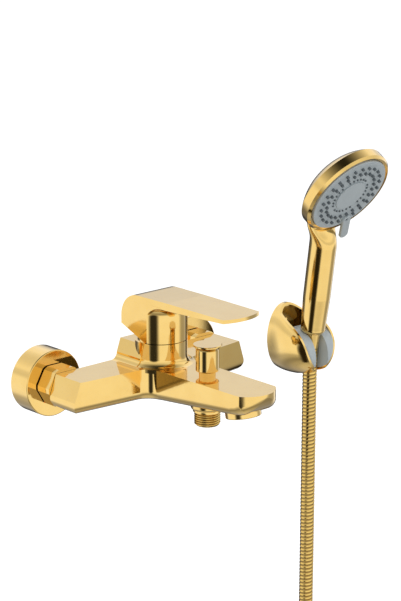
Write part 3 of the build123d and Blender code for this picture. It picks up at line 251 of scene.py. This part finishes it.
# %% [markdown]
# ## Finishes
#
# Gold here is a thin hard layer over nickel-plated brass. It is a metal in the
# shader too: its colour is the colour of its mirror. Plated plastic is the same
# gold over a softer base, with wider waves. Fittings that nobody sees are bare
# brass, which is duller.

# %% A helper for polished metals
def metal(name, light, deep, clear, cloudy, cloud_scale=55.0, wave_scale=350.0, wave=0.00001,
          coat=0.0):
    """A metal, bare or under a clear hard coat, whose colour and blur change in soft clouds."""
    material = bpy.data.materials.new(name)
    material.use_nodes = True
    tree = material.node_tree
    shader = tree.nodes["Principled BSDF"]
    shader.inputs["Metallic"].default_value = 1.0
    shader.inputs["Coat Weight"].default_value = coat
    shader.inputs["Coat Roughness"].default_value = 0.04
    effect = add_node(tree, "ShaderNodeGroup", {"node_tree": clouds}, Light_Colour=(*light, 1),
                      Deep_Colour=(*deep, 1), Cloud_Scale=cloud_scale, Wave_Scale=wave_scale,
                      Clear_Roughness=clear, Cloudy_Roughness=cloudy)
    bump = add_node(tree, "ShaderNodeBump", Strength=1.0, Distance=wave,
                    Height=effect.outputs["Waves"])
    tree.links.new(effect.outputs["Colour"], shader.inputs["Base Color"])
    tree.links.new(effect.outputs["Roughness"], shader.inputs["Roughness"])
    tree.links.new(bump.outputs["Normal"], shader.inputs["Normal"])
    return material


# %% Gold, plated plastic, brass and steel
gold_light, gold_deep = (0.96, 0.66, 0.20), (0.93, 0.62, 0.175)
metals = {
    "gold_brass": metal("polished_gold", gold_light, gold_deep, 0.07, 0.11, coat=1.0),
    "gold_plated_plastic": metal("gold_over_plastic", gold_light, gold_deep, 0.09, 0.14, 40.0,
                                 220.0, 0.000015, 1.0),
    "plain_brass": metal("bare_brass", (0.80, 0.58, 0.27), (0.66, 0.45, 0.20), 0.22, 0.36, 120.0,
                         1800.0, 0.00002),
    "steel": metal("stainless_steel", (0.62, 0.61, 0.59), (0.5, 0.49, 0.48), 0.2, 0.34, 150.0,
                   2200.0, 0.00002),
}
print("metals:", sorted(metals))

# %% A helper for mouldings
def moulding(name, light, deep, smooth, dull, grain_scale=2500.0, grain=0.00002, coat=0.0):
    """A plastic, rubber or ceramic whose colour drifts a little and whose skin is pebbled."""
    material = bpy.data.materials.new(name)
    material.use_nodes = True
    tree = material.node_tree
    shader = tree.nodes["Principled BSDF"]
    shader.inputs["Coat Weight"].default_value = coat
    effect = add_node(tree, "ShaderNodeGroup", {"node_tree": skin}, Grain_Scale=grain_scale,
                      Smooth_Roughness=smooth, Dull_Roughness=dull)
    drift = add_node(tree, "ShaderNodeMix", {"data_type": "RGBA"}, _0=effect.outputs["Flow"],
                     _6=(*light, 1), _7=(*deep, 1))
    bump = add_node(tree, "ShaderNodeBump", Strength=1.0, Distance=grain,
                    Height=effect.outputs["Grain"])
    tree.links.new(drift.outputs[2], shader.inputs["Base Color"])
    tree.links.new(effect.outputs["Roughness"], shader.inputs["Roughness"])
    tree.links.new(bump.outputs["Normal"], shader.inputs["Normal"])
    return material


# %% Plastics, rubbers and ceramic
mouldings = {
    "grey_plastic": moulding("grey_plastic", (0.52, 0.58, 0.60), (0.46, 0.52, 0.545), 0.28, 0.4),
    "dark_rubber": moulding("soft_dark_rubber", (0.14, 0.165, 0.18), (0.11, 0.13, 0.145), 0.5,
                            0.7, 3500.0),
    "black_rubber": moulding("sealing_rubber", (0.03, 0.03, 0.03), (0.018, 0.018, 0.018), 0.55,
                             0.75, 3000.0),
    "pale_plastic": moulding("pale_plastic", (0.72, 0.71, 0.67), (0.62, 0.61, 0.57), 0.3, 0.45),
    "ceramic_disc": moulding("lapped_ceramic", (0.84, 0.82, 0.76), (0.78, 0.76, 0.70), 0.12, 0.2,
                             5000.0, 0.000005),
}
print("mouldings:", sorted(mouldings))

# %% [markdown]
# The hose is wound from a gold-coloured strip whose edges hook into each other,
# and a thread is cut. Their metal reads how deep each point lies, a value that
# the winding leaves on it, and gets a painted shade towards the groove bottoms.

# %% The wound strip and the cut thread, with painted shade in their grooves
def paint_groove_shade(material, dark):
    """Paint shade on a metal, darker towards the bottom of its grooves."""
    tree = material.node_tree
    shader = tree.nodes["Principled BSDF"]
    # The groove value masks a painted shade: the dark colour is mixed over the metal's own
    # colour.
    depth = add_node(tree, "ShaderNodeAttribute", {"attribute_name": "groove"})
    plain_colour = shader.inputs["Base Color"].links[0].from_socket
    shaded = add_node(tree, "ShaderNodeMix", {"data_type": "RGBA"}, _0=depth.outputs["Fac"],
                      _6=plain_colour, _7=(*dark, 1))
    tree.links.new(shaded.outputs[2], shader.inputs["Base Color"])
    return material


# Both finishes carry painted shade in their grooves, dark brown on the strip and nearly black in
# the thread.
metals["gold_hose"] = paint_groove_shade(metal("wound_gold_strip", gold_light, gold_deep, 0.14, 0.24, 300.0,
                                    2600.0), (0.14, 0.08, 0.03))
cut_gold = paint_groove_shade(metal("cut_gold", gold_light, gold_deep, 0.12, 0.2), (0.05, 0.03, 0.01))

# %% Dress the frame's own pieces
finishes = {**metals, **mouldings}
slot_of = {row["node"]: row["material_slot"] for row in frame["record"]["subparts"]}
for node, piece in frame["nodes"].items():
    piece.data.materials.clear()
    piece.data.materials.append(finishes[slot_of[node]])
print("dressed:", len(frame["nodes"]))

# %% [markdown]
# ## A winding that follows a line
#
# The hose's strip and a pipe thread are the same form: a ridge that winds
# round a tube. Geometry Nodes sweeps a circle along a line, and moves each
# point in or out by where it lies on the winding. That place is the length run
# along the line in pitches, plus the way round the circle.

# %% Two short ways to say a node
def maths(tree, operation, first, second=0.0):
    """A Math node's answer."""
    node = add_node(tree, "ShaderNodeMath", {"operation": operation}, _0=first, _1=second)
    return node.outputs[0]


def remember(tree, geometry, name, value):
    """Keep a value on the points of some geometry, and return both sockets."""
    node = add_node(tree, "GeometryNodeCaptureAttribute", {"domain": "POINT"}, Geometry=geometry)
    node.capture_items.new("FLOAT", name)
    tree.links.new(value, node.inputs[name])
    return node.outputs["Geometry"], node.outputs[name]


# %% Build the winding tree
winding, inside, outside = new_group("winding", "GeometryNodeTree", (
    ("INPUT", "NodeSocketGeometry", "Line", None),
    ("INPUT", "NodeSocketFloat", "Radius", 0.006),
    ("INPUT", "NodeSocketFloat", "Depth", 0.0007),
    ("INPUT", "NodeSocketFloat", "Pitch", 0.004),
    ("INPUT", "NodeSocketFloat", "Sharpness", 0.7),
    ("INPUT", "NodeSocketInt", "Sides", 18),
    ("INPUT", "NodeSocketFloat", "Rings per Pitch", 8.0),
    ("INPUT", "NodeSocketFloat", "End Fade", 0.001),
    ("INPUT", "NodeSocketMaterial", "Material", None),
    ("OUTPUT", "NodeSocketGeometry", "Tube", None)))
step = maths(winding, "DIVIDE", inside.outputs["Pitch"], inside.outputs["Rings per Pitch"])
as_curve = add_node(winding, "GeometryNodeMeshToCurve", Mesh=inside.outputs["Line"])
even = add_node(winding, "GeometryNodeResampleCurve", {"mode": "LENGTH"},
                Curve=as_curve.outputs["Curve"], Length=step)
along = add_node(winding, "GeometryNodeSplineParameter")
total = add_node(winding, "GeometryNodeSplineLength").outputs["Length"]
line, run = remember(winding, even.outputs["Curve"], "run", along.outputs["Length"])
line, left = remember(winding, line, "left", maths(winding, "SUBTRACT", total,
                                                   along.outputs["Length"]))
circle = add_node(winding, "GeometryNodeCurvePrimitiveCircle", {"mode": "RADIUS"},
                  Resolution=inside.outputs["Sides"], Radius=inside.outputs["Radius"])
profile, around = remember(winding, circle.outputs["Curve"], "around", along.outputs["Factor"])
tube = add_node(winding, "GeometryNodeCurveToMesh", Curve=line, Profile_Curve=profile,
                Fill_Caps=False)
turns = maths(winding, "SUBTRACT", maths(winding, "DIVIDE", run, inside.outputs["Pitch"]), around)
ridge = maths(winding, "POWER", maths(winding, "ABSOLUTE", maths(winding, "SINE", maths(
    winding, "MULTIPLY", turns, math.pi))), inside.outputs["Sharpness"])
fade = maths(winding, "MINIMUM", 1.0, maths(
    winding, "DIVIDE", maths(winding, "MINIMUM", run, left), inside.outputs["End Fade"]))
sunk = maths(winding, "SUBTRACT", 1.0, maths(winding, "MULTIPLY", ridge, fade))
outwards = add_node(winding, "GeometryNodeInputNormal").outputs[0]
inwards = add_node(winding, "ShaderNodeVectorMath", {"operation": "SCALE"}, _0=outwards,
                   Scale=maths(winding, "MULTIPLY", maths(winding, "MULTIPLY", sunk, -1.0),
                               inside.outputs["Depth"]))
formed = add_node(winding, "GeometryNodeSetPosition", Geometry=tube.outputs["Mesh"],
                  Offset=inwards.outputs[0])
# The sunk depth is kept as groove, the mask for the painted shade in the metals.
marked = add_node(winding, "GeometryNodeStoreNamedAttribute",
                  {"data_type": "FLOAT", "domain": "POINT"}, Geometry=formed.outputs["Geometry"],
                  Name="groove", Value=sunk)
smooth = add_node(winding, "GeometryNodeSetShadeSmooth", Geometry=marked.outputs["Geometry"])
real = add_node(winding, "GeometryNodeRealizeInstances", Geometry=smooth.outputs["Geometry"])
painted = add_node(winding, "GeometryNodeSetMaterial", Geometry=real.outputs["Geometry"],
                   Material=inside.outputs["Material"])
winding.links.new(painted.outputs["Geometry"], outside.inputs["Tube"])
print("tree", winding.name, "with", len(winding.nodes), "nodes")


# %% Helpers that run a tree and keep its result as a plain mesh
def link_piece(name, mesh):
    """Show a mesh as an object at the origin."""
    piece = bpy.data.objects.new(name, mesh)
    bpy.context.scene.collection.objects.link(piece)
    return piece


def grown(name, start_mesh, tree, values):
    """Run a Geometry Nodes tree on a mesh and return the plain mesh that it makes."""
    source = link_piece(name + "_source", start_mesh)
    modifier = source.modifiers.new("grow", "NODES")
    modifier.node_group = tree
    sockets = {item.name: item.identifier for item in tree.interface.items_tree
               if item.item_type == "SOCKET" and item.in_out == "INPUT"}
    for label, value in values.items():
        modifier[sockets[label]] = value
    bpy.context.view_layer.update()
    seen = source.evaluated_get(bpy.context.evaluated_depsgraph_get())
    mesh = bpy.data.meshes.new_from_object(seen)
    mesh.name = name
    bpy.data.objects.remove(source)
    return mesh


def line_of(points):
    """A mesh of edges through some points."""
    mesh = bpy.data.meshes.new("line")
    mesh.from_pydata([tuple(p) for p in points], [(i, i + 1) for i in range(len(points) - 1)], [])
    return mesh


# %% [markdown]
# ## The hose
#
# The real one is a brass strip wound into a spiral whose turns slide in each
# other, which is how metal can bend. It could be modelled rib by rib, but a
# winding along the line is one skin that bends as the line does. Its turns rise
# to the right, as on a common screw.

# %% Wind the hose
hose_r = 6.6 * mm
hose_mesh = grown("shower_hose", line_of(hose_line), winding, {
    "Radius": hose_r, "Depth": 0.85 * mm, "Pitch": 3.5 * mm, "Sharpness": 0.55, "Sides": 20,
    "Rings per Pitch": 8.0, "Material": metals["gold_hose"]})
hose = link_piece("shower_hose", hose_mesh)
print("hose faces:", len(hose_mesh.polygons))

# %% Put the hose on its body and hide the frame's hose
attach(hose, "hose")
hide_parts("hose_hanging", "hose_coil")

# %% [markdown]
# ## The threaded shower outlet
#
# The outlet under the spout is turned from brass and carries a pipe thread,
# 14 ridges to the inch, for the nut of the hose. A spiral could be cut from it
# with a boolean, which is slow and leaves thin faces. The same winding as the
# hose's gives the thread instead, over a turned body, and it runs out at both
# ends as a cut thread does.

# %% A helper that turns an outline round an upright axis
def turned(name, outline, place, sides=72):
    """A closed ring-shaped mesh from (radius, height) points, in millimetres."""
    shape = bmesh.new()
    rings = [[shape.verts.new(((place[0] + r * math.cos(math.tau * s / sides)) * mm,
                               (place[1] + r * math.sin(math.tau * s / sides)) * mm, z * mm))
              for s in range(sides)] for r, z in outline]
    for low_ring, high_ring in zip(rings, rings[1:] + rings[:1]):
        for s in range(sides):
            after = (s + 1) % sides
            face = shape.faces.new((low_ring[s], low_ring[after], high_ring[after], high_ring[s]))
            face.smooth = True
    bmesh.ops.recalc_face_normals(shape, faces=shape.faces)
    for edge in shape.edges:
        edge.smooth = edge.calc_face_angle(0.0) < math.radians(35)
    mesh = bpy.data.meshes.new(name)
    shape.to_mesh(mesh)
    shape.free()
    return mesh


# %% Turn the outlet's body
outlet_place, thread_r, thread_depth, thread_pitch = (0.0, -120.2), 10.48, 1.1, 25.4 / 14
core_r = thread_r - thread_depth + 0.08
collar_r, collar_round, collar_z = 13.3, 2.0, -16.6
outlet_outline = [(5.2, -19.0), (5.2, -10.6), (8.5, -10.6), (8.5, -13.2), (collar_r, -13.2),
                  (collar_r, collar_z)]
for way in (22.5, 45, 67.5, 90):
    outlet_outline.append((collar_r - collar_round * (1 - math.cos(math.radians(way))),
                           collar_z - collar_round * math.sin(math.radians(way))))
outlet_outline += [(11.5, -19.2), (11.5, -20.5), (10.7, -21.3), (core_r, -21.5), (core_r, -31.3),
                   (core_r - 0.5, -32.0), (7.2, -32.0), (6.95, -31.8), (6.95, -19.0)]
outlet = link_piece("threaded_outlet", turned("threaded_outlet", outlet_outline, outlet_place))
outlet.data.materials.append(metals["gold_brass"])
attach(outlet, "mixer")
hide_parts("shower_nipple")

# %% Cut its thread
thread_line = [(outlet_place[0] * mm, outlet_place[1] * mm, z * mm)
               for z in (-21.2, -26.0, -31.5)]
thread_mesh = grown("outlet_thread", line_of(thread_line), winding, {
    "Radius": thread_r * mm, "Depth": thread_depth * mm, "Pitch": thread_pitch * mm,
    "Sharpness": 0.9, "Sides": 72, "Rings per Pitch": 10.0, "End Fade": 0.9 * mm,
    "Material": cut_gold})
thread = link_piece("outlet_thread", thread_mesh)
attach(thread, "mixer")
print("thread faces:", len(thread_mesh.polygons))

# %% [markdown]
# ## The diverter's spring
#
# A spring round the rod presses the diverter down, and it shortens as the knob
# is pulled up. A solid that only rides up would run into the sleeve above it,
# so the wire is wound anew here and stays with the body.
# A modifier's tree begins with a geometry, but this one makes all of its own.

# %% Build the spring's tree
coiling, inside, outside = new_group("coiled_wire", "GeometryNodeTree", (
    ("INPUT", "NodeSocketGeometry", "Start", None),
    ("INPUT", "NodeSocketFloat", "Radius", 0.004),
    ("INPUT", "NodeSocketFloat", "Wire Radius", 0.0004),
    ("INPUT", "NodeSocketFloat", "Rise", 0.01),
    ("INPUT", "NodeSocketFloat", "Turns", 5.0),
    ("INPUT", "NodeSocketVector", "Foot", None),
    ("INPUT", "NodeSocketMaterial", "Material", None),
    ("OUTPUT", "NodeSocketGeometry", "Spring", None)))
helix = add_node(coiling, "GeometryNodeCurveSpiral", Resolution=24,
                 Rotations=inside.outputs["Turns"], Start_Radius=inside.outputs["Radius"],
                 End_Radius=inside.outputs["Radius"], Height=inside.outputs["Rise"])
wire = add_node(coiling, "GeometryNodeCurvePrimitiveCircle", {"mode": "RADIUS"}, Resolution=8,
                Radius=inside.outputs["Wire Radius"])
swept = add_node(coiling, "GeometryNodeCurveToMesh", Curve=helix.outputs["Curve"],
                 Profile_Curve=wire.outputs["Curve"], Fill_Caps=True)
stood = add_node(coiling, "GeometryNodeTransform", Geometry=swept.outputs["Mesh"],
                 Translation=inside.outputs["Foot"])
real = add_node(coiling, "GeometryNodeRealizeInstances", Geometry=stood.outputs["Geometry"])
painted = add_node(coiling, "GeometryNodeSetMaterial", Geometry=real.outputs["Geometry"],
                   Material=inside.outputs["Material"])
coiling.links.new(painted.outputs["Geometry"], outside.inputs["Spring"])
print("tree", coiling.name, "with", len(coiling.nodes), "nodes")

# %% Wind the spring in its solid's place
spring_low, spring_high = (Vector(corner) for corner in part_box("diverter_spring"))
wire_r, spring_travel, spring_top = 0.4 * mm, 6.0 * mm, 22.2 * mm
spring_r = (spring_high.x - spring_low.x) / 2 - wire_r
spring_mesh = grown("diverter_return_spring", bpy.data.meshes.new("start"), coiling, {
    "Radius": spring_r, "Wire Radius": wire_r, "Turns": 5.0,
    "Rise": spring_high.z - spring_low.z - 2 * wire_r,
    "Foot": (0.0, (spring_low.y + spring_high.y) / 2, spring_low.z + wire_r),
    "Material": metals["steel"]})
spring = link_piece("diverter_return_spring", spring_mesh)
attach(spring, "mixer")
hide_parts("diverter_spring")
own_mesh(spring)

# %% [markdown]
# ## Floor, light and surroundings
#
# The floor is pale and plain, and far below, since the mixer hangs on a wall.
# Where the camera sees it, it glows enough to end up white, and the world does
# the same. Soft lamps light the mixer from both sides and above. Neither they
# nor the floor are seen in the metal, which mirrors a tent of its own instead.

# %% A mask of what is seen directly
def seen_directly(tree):
    """1 for what the camera, a mirror or clear glass sees, and 0 for light that scatters."""
    path = add_node(tree, "ShaderNodeLightPath")
    return maths(tree, "MAXIMUM", path.outputs["Is Camera Ray"], maths(
        tree, "MAXIMUM", path.outputs["Is Glossy Ray"], path.outputs["Is Transmission Ray"]))


# %% Lay the floor
low = Vector(cad_box[0])
floor_mesh = bpy.data.meshes.new("floor")
floor_half, floor_glow = 14.0, 0.6
floor_mesh.from_pydata([(x * floor_half, y * floor_half, low.z)
                        for x, y in ((-1, -1), (1, -1), (1, 1), (-1, 1))], [], [(0, 1, 2, 3)])
floor = link_piece("floor", floor_mesh)
floor_material = bpy.data.materials.new("pale_floor")
floor_material.use_nodes = True
tree = floor_material.node_tree
shader = tree.nodes["Principled BSDF"]
mottle = add_node(tree, "ShaderNodeTexNoise", Scale=1.5, Vector=add_node(
    tree, "ShaderNodeTexCoord").outputs["Object"])
floor_colour = add_node(tree, "ShaderNodeMix", {"data_type": "RGBA"}, _0=mottle.outputs["Fac"],
                        _6=(0.86, 0.86, 0.86, 1), _7=(0.83, 0.83, 0.83, 1))
tree.links.new(floor_colour.outputs[2], shader.inputs["Base Color"])
shader.inputs["Roughness"].default_value = 0.9
shader.inputs["Specular IOR Level"].default_value = 0.0
shader.inputs["Emission Color"].default_value = (1, 1, 1, 1)
tree.links.new(maths(tree, "MULTIPLY", seen_directly(tree), floor_glow),
               shader.inputs["Emission Strength"])
floor_mesh.materials.append(floor_material)
floor.visible_glossy = False

# %% Surround it with white
world = bpy.data.worlds.new("studio")
world.use_nodes = True
tree = world.node_tree
strength = add_node(tree, "ShaderNodeMapRange", _0=seen_directly(tree), _3=0.55, _4=1.0)
tree.links.new(strength.outputs[0], tree.nodes["Background"].inputs["Strength"])
tree.nodes["Background"].inputs["Color"].default_value = (1, 1, 1, 1)
bpy.context.scene.world = world


# %% Hang the lamps
def softbox(name, place, target, size, watts):
    """A square lamp that faces a point."""
    data = bpy.data.lights.new(name, "AREA")
    data.size = size
    data.energy = watts
    lamp = bpy.data.objects.new(name, data)
    lamp.location = place
    lamp.rotation_euler = (Vector(target) - Vector(place)).to_track_quat("-Z", "Y").to_euler()
    lamp.visible_glossy = False
    bpy.context.scene.collection.objects.link(lamp)


lamp_target = (0.1, -0.06, 0.0)
for name, place, size, watts in (("key", (-1.9, -1.4, 2.0), 1.4, 16.0),
                                 ("fill", (1.9, -1.9, 1.2), 1.6, 9.0),
                                 ("top", (0.2, -0.5, 2.6), 1.6, 10.0)):
    softbox(name, place, lamp_target, size, watts)

# %% [markdown]
# Polished metal is drawn by what it mirrors. A photographer puts it in a white
# tent and hangs black cards where lines are wanted. This tent is a large ball
# that only mirrors see. Its glow depends on the way that a mirrored ray goes:
# bands by height, which darken the roundings that face up and down, times soft
# round cards. One stands left of the camera for the dark line on upright round
# forms, two behind the mixer for their thin outlines, one to the right for the
# dusk on the spout's far side, and one overhead.

# %% Sew the tent that mirrors show
tent_r = 6.0
tent_mesh = bpy.data.meshes.new("studio_tent")
ball = bmesh.new()
bmesh.ops.create_icosphere(ball, subdivisions=5, radius=tent_r)
bmesh.ops.reverse_faces(ball, faces=ball.faces)
ball.to_mesh(tent_mesh)
ball.free()
tent = link_piece("studio_tent", tent_mesh)
cloth = bpy.data.materials.new("tent_cloth")
cloth.use_nodes = True
tree = cloth.node_tree
toward = add_node(tree, "ShaderNodeVectorMath", {"operation": "NORMALIZE"}, _0=add_node(
    tree, "ShaderNodeTexCoord").outputs["Object"]).outputs[0]
height = add_node(tree, "ShaderNodeMapRange", _1=-1.0, _2=1.0, _0=add_node(
    tree, "ShaderNodeSeparateXYZ", Vector=toward).outputs["Z"])
bands = add_node(tree, "ShaderNodeValToRGB", Fac=height.outputs[0])
bands.color_ramp.interpolation = "EASE"
for sine, grey in ((-0.97, 0.6), (-0.86, 0.42), (-0.73, 0.28), (-0.60, 0.50), (-0.47, 0.95),
                   (-0.36, 1.0), (0.05, 1.0), (0.22, 0.76), (0.30, 0.80), (0.42, 1.0)):
    stop = bands.color_ramp.elements.new((sine + 1.0) / 2.0)
    stop.color = (grey, grey, grey, 1)
bands.color_ramp.elements.remove(bands.color_ramp.elements[0])
bands.color_ramp.elements.remove(bands.color_ramp.elements[-1])
glow = bands.outputs["Color"]
print("bands of the tent:", len(bands.color_ramp.elements))

# %% Hang soft round cards: name, azimuth, height, core, edge, shade and fall
cards = (("line", 197.0, -18.0, 9.0, 27.0, 0.03, "SMOOTHSTEP"),
         ("behind", 47.0, -18.0, 14.0, 36.0, 0.05, "SMOOTHSTEP"),
         ("wall side", 88.0, -12.0, 12.0, 32.0, 0.12, "SMOOTHSTEP"),
         ("right dusk", 338.0, -22.0, 8.0, 28.0, 0.40, "SMOOTHSTEP"),
         ("ceiling", 205.0, 78.0, 6.0, 62.0, 0.02, "LINEAR"))
for name, card_azimuth, card_height, core, edge, shade, fall in cards:
    turn, rise = math.radians(card_azimuth), math.radians(card_height)
    middle = (math.cos(rise) * math.cos(turn), math.cos(rise) * math.sin(turn), math.sin(rise))
    near = add_node(tree, "ShaderNodeVectorMath", {"operation": "DOT_PRODUCT"}, _0=toward,
                    _1=middle)
    card = add_node(tree, "ShaderNodeMapRange", {"interpolation_type": fall},
                    _0=near.outputs["Value"], _1=math.cos(math.radians(edge)),
                    _2=math.cos(math.radians(core)), _3=1.0, _4=shade)
    card.label = name
    glow = maths(tree, "MULTIPLY", glow, card.outputs[0])
light = add_node(tree, "ShaderNodeEmission", Strength=glow)
tree.links.new(light.outputs[0], tree.nodes["Material Output"].inputs["Surface"])
tent_mesh.materials.append(cloth)
for kind in ("camera", "diffuse", "shadow", "transmission"):
    setattr(tent, "visible_" + kind, False)

# %% [markdown]
# The mixer itself hides the card that would draw the hand shower's dark line,
# so a small card with faded edges hangs between the two, for mirrors alone. Its
# upper edge is low enough that the top of the spout doesn't mirror it as well.

# %% Hang the near card
card_mesh = bpy.data.meshes.new("near_card")
card_middle, card_half, card_low, card_high = Vector((0.141, -0.0615)), 0.036, -0.12, 0.052
card_turn = math.radians(14.0)
card_way = Vector((-math.sin(card_turn), math.cos(card_turn)))
card_mesh.from_pydata([(*(card_middle + card_way * side * card_half), z) for side, z in (
    (-1, card_low), (1, card_low), (1, card_high), (-1, card_high))], [], [(0, 1, 2, 3)])
card_uv = card_mesh.uv_layers.new(name="card")
for corner, place in zip(card_uv.data, ((0, 0), (1, 0), (1, 1), (0, 1))):
    corner.uv = place
near_card = link_piece("near_card", card_mesh)
black = bpy.data.materials.new("black_card")
black.use_nodes = True
tree = black.node_tree
across = add_node(tree, "ShaderNodeSeparateXYZ", Vector=add_node(
    tree, "ShaderNodeTexCoord").outputs["UV"])
from_middle = maths(tree, "ABSOLUTE", maths(tree, "SUBTRACT", across.outputs["X"], 0.5))
fade = add_node(tree, "ShaderNodeMapRange", {"interpolation_type": "SMOOTHSTEP"}, _0=from_middle,
                _1=0.12, _2=0.5)
mixed = add_node(tree, "ShaderNodeMixShader", _0=fade.outputs[0], _1=add_node(
    tree, "ShaderNodeEmission", Color=(0.02, 0.016, 0.01, 1)).outputs[0], _2=add_node(
    tree, "ShaderNodeBsdfTransparent").outputs[0])
tree.links.new(mixed.outputs[0], tree.nodes["Material Output"].inputs["Surface"])
card_mesh.materials.append(black)
for kind in ("camera", "diffuse", "shadow", "transmission"):
    setattr(near_card, "visible_" + kind, False)

# %% Colours come out as they are written
bpy.context.scene.view_settings.view_transform = "Standard"

# %% Bring the scene up to date, then finish
bpy.context.view_layer.update()
